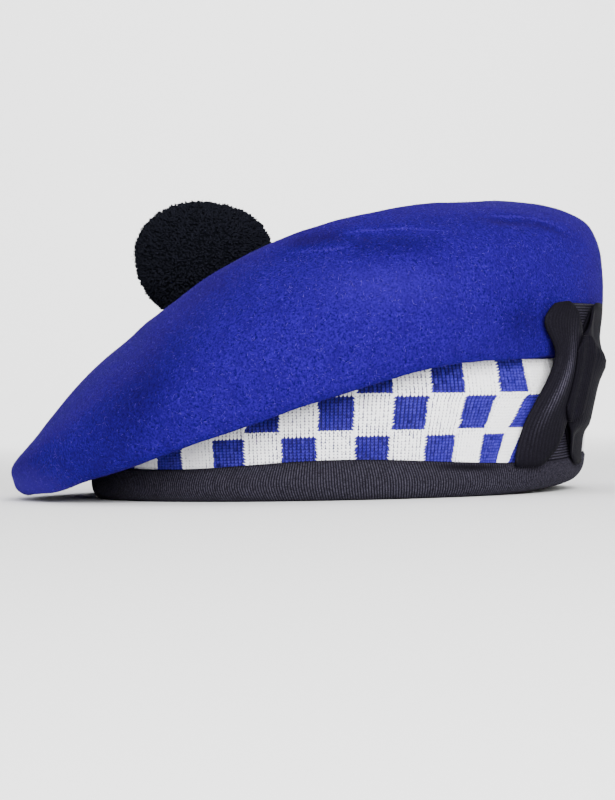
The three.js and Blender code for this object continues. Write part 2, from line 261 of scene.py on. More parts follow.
def rib_wave(phase):
    """Height of a round rib, from 0 in the hollow between two ribs to 1."""
    return np.sqrt(1 - (2 * (phase % 1) - 1) ** 2)


rib_count = round(2 * math.pi * (HALF_WIDTH + HALF_LENGTH) / 2 / RIB_PITCH)
rib_phase = np.arange(rib_count * RIB_COLUMNS) / RIB_COLUMNS
band_turn = (2 * np.pi * rib_phase / rib_count)[:, None]
section_out, section_share, section_rib = BAND_SECTION.T
tangent_out = np.roll(section_out, -1) - np.roll(section_out, 1)
tangent_up = (np.roll(section_share, -1) - np.roll(section_share, 1)) * BAND_HEIGHT
tangent_long = np.hypot(tangent_out, tangent_up)
rise = RIB_RISE * rib_wave(rib_phase)[:, None] * section_rib
band_up = section_share * band_top(band_turn) + rise * tangent_out / tangent_long
band_out = section_out - rise * tangent_up / tangent_long
crease = bell(band_turn - 2 * np.pi, CREASE_TURN, CREASE_SPREAD)
crease_share = bell(section_share, CREASE_SHARE, CREASE_TALL) * (section_out > OUTER_FACE)
band_out = band_out - CREASE_DEEP * crease * crease_share
# Behind the cockade the upper edge is drawn in against the knitting.
from_side = (band_turn + np.pi) % (2 * np.pi) - np.pi
is_lip = (section_share > LIP_SHARE) & (section_out > LIP_OUT)
band_out = band_out - LIP_DRAWN * bell(from_side, 0, LIP_SPREAD) * is_lip
# Folding and handling have drawn the outer ribs askew. At these turns, their heads and feet lie this
# many millimetres further round than the ribbon's middle.
SLANT_TURNS = np.radians([-150, -132, -112, -100, -88, -74, -60, -45, 0, 100])
SLANT_HEAD = (0, 1.4, 3.0, 1.0, -1.2, -2.4, -1.0, 0, 0, 0)
SLANT_FOOT = (0.6, 1.8, 2.2, 1.4, 0.8, 0.0, -1.2, -1.6, -1.2, 0.6)
SLANT_NONE = 0.45
SLANT_CURVE = 1.5
SLANT_FROM = -1.5
head_lean = np.interp(band_turn, SLANT_TURNS, SLANT_HEAD, period=2 * np.pi)
foot_lean = np.interp(band_turn, SLANT_TURNS, SLANT_FOOT, period=2 * np.pi)
above = np.maximum(section_share - SLANT_NONE, 0) / (1 - SLANT_NONE)
below = np.maximum(SLANT_NONE - section_share, 0) / SLANT_NONE
lean = head_lean * above**SLANT_CURVE + foot_lean * below**SLANT_CURVE
lean = lean * (section_out > SLANT_FROM)
leaning_turn = band_turn + lean / HALF_LENGTH
# The ribs' painted highlight, dimmed in the crease by painted shade.
band_ridge = rib_wave(rib_phase)[:, None] * section_rib * (1 - CREASE_PAINTED_SHADE * crease * crease_share)
build_piece(
    "headband_ribbon",
    on_band(leaning_turn, band_out, np.maximum(band_up, 0)),
    grid_quads(len(rib_phase), len(BAND_SECTION), ring_rows=True, ring_columns=True),
    grosgrain,
    "headband",
    {"painted_rib_light": band_ridge.ravel()},
)


# Diced band: a tube of plain knitting in blue and white wool, three checks high, worked in one
# piece with the crown above it. Every stitch shows as a V of two plump legs.
CHECKS_ROUND = 44
CHECK_EDGE = math.radians(-70.6)
CHECK_ROWS = 3
WALES = 9
COURSES = 12
WHITE_OVER = 1
KNIT_FOOT = 10.5
KNIT_WALL = 2.6
KNIT_PUFF = 1.3
KNIT_SINK = 0.35
PILLOW = 0.3
LEAN_TURN = math.radians(-33)
LEAN_MOST = math.radians(17)
LEAN_SPREAD = math.radians(16)
LEAN_FADE = math.radians(30)
LEAN_SHARES = (0, 0.33, 0.62, 0.68, 1)
LEAN_PARTS = (1, 0.66, 0, -0.3, -0.03)
CAD_TURNS = 60
OUTER_FIRST = 0.01

# The wall's top edge is read from the solid, which has one upright row of points at each turn. Of
# points that are equally high, the outer one counts.
knit_points = np.array([v.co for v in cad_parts["diced_band"].data.vertices]) * 1000
knit_points[:, 0] -= BAND_AXIS
point_turn = np.arctan2(knit_points[:, 1] / HALF_LENGTH, knit_points[:, 0] / HALF_WIDTH)
turn_step = np.round(point_turn * CAD_TURNS / (2 * np.pi)).astype(int) % CAD_TURNS
step_turn = turn_step * 2 * np.pi / CAD_TURNS
step_cos = np.cos(step_turn)
step_sin = np.sin(step_turn)
oval_reach = HALF_WIDTH * step_cos**2 + HALF_LENGTH * step_sin**2
point_out = knit_points[:, 0] * step_cos + knit_points[:, 1] * step_sin - oval_reach
edge_point = [
    max(np.flatnonzero(turn_step == k), key=lambda i: knit_points[i, 2] + OUTER_FIRST * point_out[i])
    for k in range(CAD_TURNS)
]
edge_turn = np.arange(CAD_TURNS) * 2 * np.pi / CAD_TURNS
edge_up = knit_points[edge_point, 2]
edge_out = point_out[edge_point]


def knit_top(turn):
    return np.interp(turn, edge_turn, edge_up, period=2 * np.pi)


def knit_face(turn, up):
    """How far the knitted face stands out: it puffs a little and leans to meet the crown."""
    join = np.interp(turn, edge_turn, edge_out, period=2 * np.pi)
    share = np.clip((up - BAND_HEIGHT) / (knit_top(turn) - BAND_HEIGHT), 0, 1)
    return join * share**2 + KNIT_PUFF * np.sin(np.pi * share)


def knit_up(turn, share):
    """Height at a share of the knitted rows, counted from the lowest row's hidden foot."""
    return KNIT_FOOT + share * (knit_top(turn) - KNIT_FOOT)


def knit_lean(turn, share):
    """How far the wales are pulled towards the brow, most of all at their feet by the cockade."""
    past = (turn - LEAN_TURN + np.pi) % (2 * np.pi) - np.pi
    pull = np.where(past < 0, np.exp(past / LEAN_SPREAD), np.maximum(1 - past / LEAN_FADE, 0))
    return LEAN_MOST * pull * np.interp(share, LEAN_SHARES, LEAN_PARTS)


# Plain knitted wool, worsted spun: soft matt yarn with loose hairs, so colour and shade break up
# finely from stitch to stitch, the shade painted from the plump attribute towards the painted shade
# colour.
def knitted_wool(name, painted_shade, mid, light, sheen):
    material = bare_material(name)
    spot = add_node(material, "ShaderNodeTexCoord", {}).outputs["Object"]
    # Fibres are about 0.03 mm thick, and are drawn at 0.4 mm so that they show.
    fibre = add_node(
        material,
        "ShaderNodeTexNoise",
        {"Vector": spot, "Scale": per_metre(0.4), "Detail": 4.0, "Roughness": 0.7},
    ).outputs["Fac"]
    # The dye is uneven over a few stitches, about 5 mm.
    cloud = add_node(
        material,
        "ShaderNodeTexNoise",
        {"Vector": spot, "Scale": per_metre(5), "Detail": 2.0},
    ).outputs["Fac"]
    # The plump attribute is painted shade: 1 keeps the yarn's colour, 0 is the painted shade colour.
    plump = add_node(material, "ShaderNodeAttribute", {}, attribute_name="plump").outputs["Fac"]
    clear_fibre = add_node(
        material, "ShaderNodeMapRange", {"Value": fibre, "From Min": 0.35, "From Max": 0.7}
    ).outputs["Result"]
    flecked = add_node(
        material, "ShaderNodeMath", {0: clear_fibre, 1: cloud}, operation="MULTIPLY"
    ).outputs[0]
    body = add_node(
        material,
        "ShaderNodeMix",
        {0: flecked, 6: linear(mid), 7: linear(light)},
        data_type="RGBA",
    ).outputs[2]
    colour = add_node(
        material,
        "ShaderNodeMix",
        {0: plump, 6: linear(painted_shade), 7: body},
        data_type="RGBA",
    ).outputs[2]
    bump = add_node(
        material, "ShaderNodeBump", {"Strength": 0.4, "Distance": 0.0002, "Height": fibre}
    )
    shader = add_node(
        material,
        "ShaderNodeBsdfPrincipled",
        {
            "Base Color": colour,
            "Roughness": 0.92,
            "Specular IOR Level": 0.03,
            "Sheen Weight": 0.03,
            "Sheen Roughness": 0.6,
            "Sheen Tint": linear(sheen),
            "Normal": bump.outputs["Normal"],
        },
    )
    add_node(material, "ShaderNodeOutputMaterial", {"Surface": shader.outputs["BSDF"]})
    return material


white_knit = knitted_wool("white_wool_knitted", "#5c5a6c", "#fbfafd", "#ffffff", "#ffffff")
blue_knit = knitted_wool("blue_wool_knitted", "#06021e", "#2e1e94", "#584cbc", "#4a30a0")

# One leg of a stitch, in rows from its foot: how far it has leaned out from the V's middle and
# its half width, both in wales, how far it has climbed, in courses, and how plump it is there.
LEG_ROWS = np.array([[0.05, 0.13, -0.15, 0.75], [0.19, 0.24, 0.50, 1.0], [0.30, 0.19, 1.02, 0.5]])
LEG_PLUMP = 0.65
# The leg shade, white floor and blue rows below set the painted shade on each leg.
LEG_SHADE_FROM = 0.42
LEG_SHADE_FADE = 0.2
LEG_EDGE = -0.35
BLUE_THIN = 0.87
WHITE_PLUMP = 1.22
WHITE_UNEVEN = 0.16
WHITE_FLOOR = np.array([0.45, 0.85, 0.85])
BLUE_ROWS = np.array([0.3, 1.0, 0.5])
BLUE_UNEVEN = 0.25
WALE_UNEVEN = 0.035
COURSE_UNEVEN = 0.05
PILLOW_UNEVEN = 0.2
TIGHTEST = 0.4
SPIKE = 0.6
SPIKE_RANGE = (0.3, 1.2)
SPIKE_ROWS = np.array([0.1, 0.6, 1.0])
SPIKE_LIFT = 1.05
WIDE_CHECK = 4
WIDE_WALES = 4
COCKADE_TURN = math.radians(-33)
COVERED_HALF = math.radians(8)
COVERED_COURSES = 4

wale, course = np.meshgrid(
    np.arange(CHECKS_ROUND * WALES), np.arange(CHECK_ROWS * COURSES), indexing="ij"
)
wale = wale.ravel()
course = course.ravel()
is_white = np.where(
    (wale // WALES) % 2 == 1,
    (course < COURSES + WHITE_OVER) | (course >= 2 * COURSES),
    (course >= COURSES - WHITE_OVER) & (course < 2 * COURSES + WHITE_OVER),
)
# The top row's white check beside the cockade is wider, and runs on behind the bow.
is_white |= (wale // WALES == WIDE_CHECK) & (wale % WALES < WIDE_WALES) & (course >= 2 * COURSES)
loose = chance.normal(0, 1, (3, len(wale)))
# At a white check's upright edges the outer legs are pulled sideways over the blue.
outer_side = (wale % WALES == WALES - 1) * 1 - (wale % WALES == 0) * 1
spike = SPIKE * chance.uniform(*SPIKE_RANGE, len(wale)) * is_white
pulled = spike[:, None] * (np.array([-1, 1]) == outer_side[:, None])
leg_wide = np.where(is_white, WHITE_PLUMP + WHITE_UNEVEN * loose[2], BLUE_THIN)
leg_lean, leg_half, leg_climb, leg_plump = LEG_ROWS.T
across = np.array([-1.0, 0.0, 1.0])
side = np.array([-1.0, 1.0])
# Axes of the arrays: stitch, left or right leg, row up the leg, place across the leg.
stitch_across = (
    wale[:, None, None, None]
    + 0.5
    + WALE_UNEVEN * loose[0][:, None, None, None]
    + side[:, None, None] * leg_lean[:, None]
    + leg_wide[:, None, None, None] * leg_half[:, None] * across
)
flap = (1 + side[:, None, None] * across) / 2 * SPIKE_ROWS[:, None]
stitch_across = stitch_across + (pulled * side)[:, :, None, None] * flap
spiked = (pulled > 0)[:, :, None, None] * flap
stitch_climb = (course + COURSE_UNEVEN * loose[1])[:, None, None, None] + leg_climb[:, None]
stitch_climb = np.broadcast_to(stitch_climb, stitch_across.shape)
stitch_share = np.minimum(stitch_climb / (CHECK_ROWS * COURSES), 1.0)
check_x = 2 * ((wale + 0.5) / WALES % 1) - 1
check_y = 2 * ((course + 0.5) / COURSES % 1) - 1
pillow = PILLOW * (1 - check_x**2) * (1 - check_y**2)
plump = np.where(across == 0, leg_plump[:, None] * LEG_PLUMP, LEG_EDGE)
stitch_turn = CHECK_EDGE + stitch_across * 2 * np.pi / (CHECKS_ROUND * WALES)
stitch_turn = stitch_turn - knit_lean(stitch_turn, stitch_share)
stitch_up = knit_up(stitch_turn, stitch_share)
stitch_out = knit_face(stitch_turn, stitch_up) - KNIT_SINK + plump
pillow = pillow * (1 + PILLOW_UNEVEN * loose[2])
stitch_out = stitch_out + pillow[:, None, None, None] + SPIKE_LIFT * spiked
stitch_points = on_band(stitch_turn, stitch_out, stitch_up)
# Painted shade: legs darken towards their outer edges between the wales, and blue legs at their foot
# and top.
from_middle = np.abs(side[:, None, None] * leg_lean[:, None] + leg_half[:, None] * across)
leg_shade = np.clip((LEG_SHADE_FROM - from_middle) / LEG_SHADE_FADE, 0, 1)
stitch_shade = np.where(
    is_white[:, None, None, None],
    np.maximum(leg_shade, WHITE_FLOOR[:, None]),
    leg_shade * BLUE_ROWS[:, None] * (1 + BLUE_UNEVEN * loose[2])[:, None, None, None],
)
# At random some stitches keep less painted shade, and pulled legs keep none.
tight = chance.uniform(0, TIGHTEST, len(wale))[:, None, None, None]
stitch_shade = np.maximum(stitch_shade + (1 - stitch_shade) * tight, np.minimum(2 * spiked, 1))
# The knitting under the foot of the cockade is left out, so that none of it shines through there; the
# dark wall behind shows there as painted shade.
is_covered = np.abs(stitch_turn[:, 0, 1, 1] - COCKADE_TURN) < COVERED_HALF
is_covered &= course < COVERED_COURSES
leg_quads = grid_quads(len(LEG_ROWS), len(across))
for colour_name, chosen, wool in (
    ("white", is_white & ~is_covered, white_knit),
    ("blue", ~is_white & ~is_covered, blue_knit),
):
    points = stitch_points[chosen].reshape(-1, 3)
    leg_starts = np.arange(0, len(points), len(LEG_ROWS) * len(across))
    quads = (leg_starts[:, None, None] + leg_quads).reshape(-1, 4)
    build_piece(
        f"diced_band_{colour_name}_stitches",
        points,
        quads,
        wool,
        shades={"plump": stitch_shade[chosen].ravel()},
    )

# The fabric behind the stitches, with the same checks on its reverse inside the bonnet. Its outer
# face is dark blue all round; in the gaps between stitches it is partly blue yarn, partly painted
# shade.
WALL_COLUMNS = 4
WALL_ROWS = 4
WALL_FOOT = 1.9
WALL_SINK = 0.1
wall_turn = CHECK_EDGE + np.arange(CHECKS_ROUND * WALL_COLUMNS) * 2 * np.pi / (
    CHECKS_ROUND * WALL_COLUMNS
)
wall_turn = wall_turn[:, None]
row_share = np.arange(CHECK_ROWS * WALL_ROWS + 1) / (CHECK_ROWS * WALL_ROWS)
wall_up = np.concatenate(
    [np.full_like(wall_turn, WALL_FOOT), knit_up(wall_turn, row_share)], axis=1
)
wall_out = knit_face(wall_turn, wall_up)
outer_wall = on_band(wall_turn, wall_out - KNIT_SINK - WALL_SINK, wall_up)
inner_wall = on_band(wall_turn, wall_out - KNIT_WALL, wall_up)
wall_points = np.concatenate([outer_wall[:, ::-1], inner_wall], axis=1)
wall_across, wall_along = np.meshgrid(
    np.arange(len(wall_turn)), np.arange(wall_points.shape[1]), indexing="ij"
)
# The row of checks at each point, down the outer face and then up the inner one, which shows.
rows_down = CHECK_ROWS * WALL_ROWS
wall_row = np.where(
    wall_along <= rows_down, rows_down - 1 - wall_along, wall_along - rows_down - 3
)
wall_row = np.clip(wall_row, 0, rows_down - 1) // WALL_ROWS
wall_white = (wall_across // WALL_COLUMNS + wall_row) % 2 * (wall_along > rows_down)
reverse_knit = bare_material("wool_knitting_reverse")
spot = add_node(reverse_knit, "ShaderNodeTexCoord", {}).outputs["Object"]
white_part = add_node(reverse_knit, "ShaderNodeAttribute", {}, attribute_name="white").outputs["Fac"]
# The reverse shows rows of small loops, about 1.2 mm apart.
loops = add_node(
    reverse_knit,
    "ShaderNodeTexVoronoi",
    {"Vector": spot, "Scale": per_metre(1.2), "Randomness": 0.6},
).outputs["Distance"]
fabric = add_node(
    reverse_knit,
    "ShaderNodeMix",
    {0: white_part, 6: linear("#190c4c"), 7: linear("#c4c3cc")},
    data_type="RGBA",
).outputs[2]
# Each loop is drawn towards a dull navy at its edge: on the white checks, painted shade between the
# loops.
shaded_fabric = add_node(
    reverse_knit,
    "ShaderNodeMix",
    {0: loops, 6: fabric, 7: linear("#2a2550")},
    data_type="RGBA",
).outputs[2]
loop_bump = add_node(
    reverse_knit, "ShaderNodeBump", {"Strength": 0.8, "Distance": 0.0005, "Height": loops}
)
surface = add_node(
    reverse_knit,
    "ShaderNodeBsdfPrincipled",
    {
        "Base Color": shaded_fabric,
        "Roughness": 0.95,
        "Specular IOR Level": 0.03,
        "Normal": loop_bump.outputs["Normal"],
    },
)
add_node(reverse_knit, "ShaderNodeOutputMaterial", {"Surface": surface.outputs["BSDF"]})
build_piece(
    "diced_band_wall",
    wall_points,
    grid_quads(len(wall_turn), wall_points.shape[1], ring_rows=True, ring_columns=True),
    reverse_knit,
    "diced_band",
    {"white": wall_white.ravel()},
)


# Crown: one cap of knitted wool, fulled and felted until no stitch shows, then dyed and brushed.
# It is pulled down to the wearer's right and stands up on the cockade side.
FELT_LEVELS = 2
FIT_ROUNDS = 4
JOIN_ANGLE = math.radians(60)
SWELL_RISE = 0.4
SWELL_SIZE = 34
LUMP_RISE = 0.22
LUMP_SIZE = 9
LUMP_SHIFT = 50
RIM_SPAN = (70, 100)
RIM_LOW = (4, 16)
RIM_UP = 4.4
RIM_TALL = 2.4
RIM_ROUND = 1.4
RIM_SAG = 2.0
SAG_X = -90
SAG_SPREAD = 10
SAG_SPAN = (8, 16)
TOP_FALL = 1.0
TOP_X = 62
TOP_SPREAD = 22
FOOT_LIFT = 1.7
FOOT_X = -55
FOOT_SPREAD = 9
FOOT_SPAN = (54, 62)
FRONT_FACING = (0.1, 0.35)
UNDER_FACING = (0, 0.5)
TOP_FACING = (0.2, 0.6)
DIP_DEEP = 0.7
DIP_OVER = (-1.6, 1.7)
FOLD_RISE = 0.2
FOLD_OVER = (1.2, 1.8)
LEAST_ALONG = 0.01
FAR_OFF = 99.0
CREASE_SHADE = 0.4
RIM_PAINTED_LIGHT = 0.4


def finer_copy(node, levels):
    """A smooth, finer copy that passes through a solid's points: its points, normals and quads."""
    work = bmesh.new()
    work.from_mesh(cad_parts[node].data)
    bmesh.ops.remove_doubles(work, verts=work.verts, dist=1e-6)
    bmesh.ops.join_triangles(
        work,
        faces=work.faces,
        angle_face_threshold=JOIN_ANGLE,
        angle_shape_threshold=JOIN_ANGLE,
    )
    coarse = bpy.data.meshes.new("coarse")
    work.to_mesh(coarse)
    work.free()
    shape = bpy.data.objects.new("coarse", coarse)
    bpy.context.scene.collection.objects.link(shape)
    shape.modifiers.new("finer", "SUBSURF").levels = levels
    wanted = np.empty(3 * len(coarse.vertices), np.float32)
    coarse.vertices.foreach_get("co", wanted)
    held = wanted.copy()
    for _ in range(FIT_ROUNDS):
        coarse.vertices.foreach_set("co", held)
        coarse.update()
        seen = shape.evaluated_get(bpy.context.evaluated_depsgraph_get()).to_mesh()
        points = np.empty(3 * len(seen.vertices), np.float32)
        seen.vertices.foreach_get("co", points)
        held += wanted - points[: len(wanted)]
    normals = np.empty_like(points)
    corners = np.empty(len(seen.loops), np.int32)
    seen.vertex_normals.foreach_get("vector", normals)
    seen.loops.foreach_get("vertex_index", corners)
    bpy.data.objects.remove(shape)
    bpy.data.meshes.remove(coarse)
    return points.reshape(-1, 3) * 1000, normals.reshape(-1, 3), corners.reshape(-1, 4)


felt_points, felt_normals, felt_quads = finer_copy("crown", FELT_LEVELS)


def soft_noise(points, size):
    return np.array([noise.noise(Vector(p) / size) for p in points])


def smooth_step(value, low, high):
    share = np.clip((value - low) / (high - low), 0, 1)
    return share * share * (3 - 2 * share)


felt_rise = SWELL_RISE * soft_noise(felt_points, SWELL_SIZE)
felt_rise += LUMP_RISE * soft_noise(felt_points + LUMP_SHIFT, LUMP_SIZE)
felt_x, felt_y, felt_up = felt_points.T
normal_x, normal_y, normal_up = felt_normals.T
is_front = smooth_step(-normal_y, *FRONT_FACING) * (felt_y < 0)
# The slouched rim is painted paler, as painted light. On the front lie patches of painted light and
# painted shade, among them painted shadows beside the cockade and below the toorie: their places
# across and up, slant, half length, half width and tone.
PAINTED_LIGHT_PATCHES = (
    (-60, 35, math.radians(55), 24, 10, -0.45),
    (-34, 77, math.radians(30), 14, 6, -0.2),
    (-4, 88, math.radians(20), 16, 4, -0.15),
    (76, 62, 0, 9, 8, -0.4),
    (50, 97, 0, 45, 5, -0.12),
    (28, 74, 0, 22, 8, 0.12),
)
painted_light_and_shade = RIM_PAINTED_LIGHT * smooth_step(-felt_x, *RIM_SPAN) * (1 - smooth_step(felt_up, *RIM_LOW))
for patch_x, patch_up, slant, half_long, half_wide, tone in PAINTED_LIGHT_PATCHES:
    off_x = felt_x - patch_x
    off_up = felt_up - patch_up
    far = off_x * math.cos(slant) + off_up * math.sin(slant)
    aside = off_up * math.cos(slant) - off_x * math.sin(slant)
    painted_light_and_shade += tone * is_front * bell(far, 0, half_long) * bell(aside, 0, half_wide)
# Soft creases from folding run along the front, below the top's edge: their places across and up, and
# how far over each a patch of painted shade lies and how tall it is. The crease itself is a pale
# line, a painted highlight.
CREASES = (
    ((-8, -2, 12, 18), (86.7, 87.4, 88, 88.3), 4, 3),
    ((12, 19, 38, 56), (93.4, 94.4, 95, 94), -6, 4),
    ((62, 69, 83, 89, 102), (100.6, 100.6, 99.5, 97.8, 92), -1.9, 1.4),
)
from_crease = np.full(len(felt_points), FAR_OFF)
for crease_x, crease_up, patch_over, patch_tall in CREASES:
    over = felt_up - np.interp(felt_x, crease_x, crease_up)
    stretch = (crease_x[0], crease_x[1], crease_x[-2], crease_x[-1])
    along = np.interp(felt_x, stretch, (0, 1, 1, 0)) * is_front
    felt_rise -= DIP_DEEP * along * bell(over, *DIP_OVER)
    felt_rise += FOLD_RISE * along * bell(over, *FOLD_OVER)
    tapered = over / np.maximum(along, LEAST_ALONG)
    from_crease = np.where(np.abs(tapered) < np.abs(from_crease), tapered, from_crease)
    painted_light_and_shade -= CREASE_SHADE * along * bell(over, patch_over, patch_tall)
# The slouched rim is rounder and hangs a little fuller than the solid. The top lies flatter, and the
# felt stands higher beside the toorie's foot.
is_rim = (normal_x < 0) & (normal_up < 0)
rim_round = smooth_step(-felt_x, *RIM_SPAN) * bell(felt_up, RIM_UP, RIM_TALL)
felt_rise += RIM_ROUND * rim_round * np.clip(2 * normal_x * normal_up, 0, 1) * is_rim
is_under = smooth_step(-normal_up, *UNDER_FACING)
is_top = smooth_step(normal_up, *TOP_FACING)
rim_sag = bell(felt_x, SAG_X, SAG_SPREAD) * is_under * (1 - smooth_step(felt_up, *SAG_SPAN))
top_fall = bell(felt_x, TOP_X, TOP_SPREAD) * is_top
foot_lift = bell(felt_x, FOOT_X, FOOT_SPREAD) * is_top * smooth_step(felt_up, *FOOT_SPAN)
felt_points = felt_points + felt_rise[:, None] * felt_normals
felt_points[:, 2] += FOOT_LIFT * foot_lift - RIM_SAG * rim_sag - TOP_FALL * top_fall

# Felted wool, milled and brushed: matt, with a short nap that pales where it is seen edge on and
# small clouds where fibres of lighter and darker blue have matted together.
felt = bare_material("wool_felt_brushed")
place = add_node(felt, "ShaderNodeTexCoord", {}).outputs["Object"]
# Matted fibres clump about 0.8 mm across, and the clumps gather into clouds of 6 mm.
clump = add_node(
    felt,
    "ShaderNodeTexNoise",
    {"Vector": place, "Scale": per_metre(0.8), "Detail": 5.0, "Roughness": 0.75},
).outputs["Fac"]
cloud = add_node(
    felt,
    "ShaderNodeTexNoise",
    {"Vector": place, "Scale": per_metre(6), "Detail": 3.0, "Roughness": 0.6},
).outputs["Fac"]
clear_clump = add_node(
    felt, "ShaderNodeMapRange", {"Value": clump, "From Min": 0.36, "From Max": 0.64}
).outputs["Result"]
# The hex values lean to violet, because the renderer's film curve turns a deep blue to cyan.
clump_colour = add_node(
    felt,
    "ShaderNodeMix",
    {0: clear_clump, 6: linear("#08002e"), 7: linear("#280684")},
    data_type="RGBA",
).outputs[2]
clear_cloud = add_node(
    felt, "ShaderNodeMapRange", {"Value": cloud, "From Min": 0.3, "From Max": 0.7}
).outputs["Result"]
faint_cloud = add_node(
    felt, "ShaderNodeMath", {0: clear_cloud, 1: 0.6}, operation="MULTIPLY"
).outputs[0]
felt_colour = add_node(
    felt,
    "ShaderNodeMix",
    {0: faint_cloud, 6: clump_colour, 7: linear("#180156")},
    data_type="RGBA",
).outputs[2]
# A crease's pale line, a painted highlight, is about 1.5 mm wide, and fibres break it up.
crease_side = add_node(felt, "ShaderNodeAttribute", {}, attribute_name="crease").outputs["Fac"]
crease_off = add_node(felt, "ShaderNodeMath", {0: crease_side}, operation="ABSOLUTE").outputs[0]
on_line = add_node(
    felt, "ShaderNodeMapRange", {"Value": crease_off, "From Min": 0.75, "From Max": 0.0}
).outputs["Result"]
broken_up = add_node(
    felt, "ShaderNodeMapRange", {"Value": clump, "From Min": 0.3, "From Max": 0.9}
).outputs["Result"]
crease_highlight = add_node(
    felt, "ShaderNodeMath", {0: on_line, 1: broken_up}, operation="MULTIPLY"
).outputs[0]
# Painted light and painted shade on the felt: paler where this is above 0, darker where below, with
# the creases' painted highlight added.
painted_light_level = add_node(felt, "ShaderNodeAttribute", {}, attribute_name="painted_light_and_shade").outputs["Fac"]
painted_light_level = add_node(felt, "ShaderNodeMath", {0: painted_light_level, 1: crease_highlight}, operation="ADD").outputs[0]
shade = add_node(felt, "ShaderNodeMath", {0: painted_light_level, 1: -1.0}, operation="MULTIPLY").outputs[0]
pale_colour = add_node(
    felt,
    "ShaderNodeMix",
    {0: painted_light_level, 6: felt_colour, 7: linear("#3c2498")},
    data_type="RGBA",
).outputs[2]
felt_with_painted_light = add_node(
    felt,
    "ShaderNodeMix",
    {0: shade, 6: pale_colour, 7: linear("#06001f")},
    data_type="RGBA",
).outputs[2]
nap_bump = add_node(
    felt, "ShaderNodeBump", {"Strength": 0.55, "Distance": 0.0005, "Height": clump}
)
surface = add_node(
    felt,
    "ShaderNodeBsdfPrincipled",
    {
        "Base Color": felt_with_painted_light,
        "Roughness": 0.95,
        "Specular IOR Level": 0.02,
        "Sheen Weight": 0.035,
        "Sheen Roughness": 0.45,
        "Sheen Tint": linear("#7a60d8"),
        "Normal": nap_bump.outputs["Normal"],
    },
)
add_node(felt, "ShaderNodeOutputMaterial", {"Surface": surface.outputs["BSDF"]})
felt_shades = {"painted_light_and_shade": painted_light_and_shade, "crease": from_crease}
build_piece("crown_felt", felt_points, felt_quads, felt, "crown", felt_shades)

# The nap: loose fibres that stand a little off the felt, lying every way.
NAP_COUNT = 46000
NAP_LENGTH = 1.0
NAP_WIDTH = 0.07
NAP_STAND = 0.3
LONG_RANGE = (0.5, 1.4)
STAND_RANGE = (0.2, 1.6)
NAP_BEND = 0.25
NAP_DARKER = 1.6
NAP_PAINTED_LIGHT = 0.5
FIBRE_POINTS = 6
# Rows of a fibre from its root: how far along it, and its shares of the stand and the width there.
NAP_ROWS = ((0, -0.05, 1.0), (0.5, 0.8, 0.8), (1.0, 1.0, 0.3))
# Felt that faces more felt, or faces down over the opening, is inside and has no nap. A look out
# from it starts clear of its own wall. Both of these are in metres.
CLEAR_OF_WALL = 0.003
LOOK_FAR = 0.2
face_points = felt_points[felt_quads]
face_cross = np.cross(
    face_points[:, 2] - face_points[:, 0], face_points[:, 3] - face_points[:, 1]
)
face_area = np.linalg.norm(face_cross, axis=1)
face_middle = face_points.mean(axis=1)
face_normal = face_cross / face_area[:, None]
crown_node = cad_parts["crown"].data
crown_tree = BVHTree.FromPolygons(
    [v.co for v in crown_node.vertices], [p.vertices for p in crown_node.polygons]
)
from_axis = np.hypot(
    (face_middle[:, 0] - BAND_AXIS) / HALF_WIDTH, face_middle[:, 1] / HALF_LENGTH
)
is_inside = (from_axis < 1) & (face_normal[:, 2] < 0)
for face in np.flatnonzero(~is_inside):
    way = Vector(face_normal[face])
    start = Vector(face_middle[face]) / 1000 + way * CLEAR_OF_WALL
    is_inside[face] = crown_tree.ray_cast(start, way, LOOK_FAR)[0] is not None
nap_chance = np.where(is_inside, 0, face_area)
nap_face = chance.choice(len(felt_quads), NAP_COUNT, p=nap_chance / nap_chance.sum())
share_a, share_b = chance.random((2, NAP_COUNT, 1))
corner = face_points[nap_face]
nap_root = (corner[:, 0] * (1 - share_a) + corner[:, 1] * share_a) * (1 - share_b)
nap_root += (corner[:, 3] * (1 - share_a) + corner[:, 2] * share_a) * share_b
nap_normal = face_normal[nap_face]


def unit(vectors):
    return vectors / np.linalg.norm(vectors, axis=-1, keepdims=True)


nap_lie = chance.normal(0, 1, (NAP_COUNT, 3))
nap_lie = unit(nap_lie - (nap_lie * nap_normal).sum(-1, keepdims=True) * nap_normal)
nap_side = np.cross(nap_normal, nap_lie)
nap_long = NAP_LENGTH * chance.uniform(*LONG_RANGE, (NAP_COUNT, 1))
nap_stand = NAP_STAND * chance.uniform(*STAND_RANGE, (NAP_COUNT, 1))
nap_bend = nap_side * chance.normal(0, NAP_BEND, (NAP_COUNT, 1))
nap_rows = []
for along, stand, width in NAP_ROWS:
    spine = nap_root + nap_long * along * (nap_lie + along * nap_bend)
    spine = spine + nap_normal * stand * nap_stand
    nap_rows.append(spine - nap_side * NAP_WIDTH * width / 2)
    nap_rows.append(spine + nap_side * NAP_WIDTH * width / 2)
nap_points = np.stack(nap_rows, axis=1)
fibre_quads = np.array([[0, 1, 3, 2], [2, 3, 5, 4]])
nap_quads = (FIBRE_POINTS * np.arange(NAP_COUNT)[:, None, None] + fibre_quads).reshape(-1, 4)
nap_shade = chance.random(NAP_COUNT) ** NAP_DARKER
# The hairs also take the felt's painted light and painted shade.
nap_shade = nap_shade + NAP_PAINTED_LIGHT * painted_light_and_shade[felt_quads].mean(axis=1)[nap_face]
nap_shade = np.repeat(np.clip(nap_shade, 0, 1), FIBRE_POINTS)

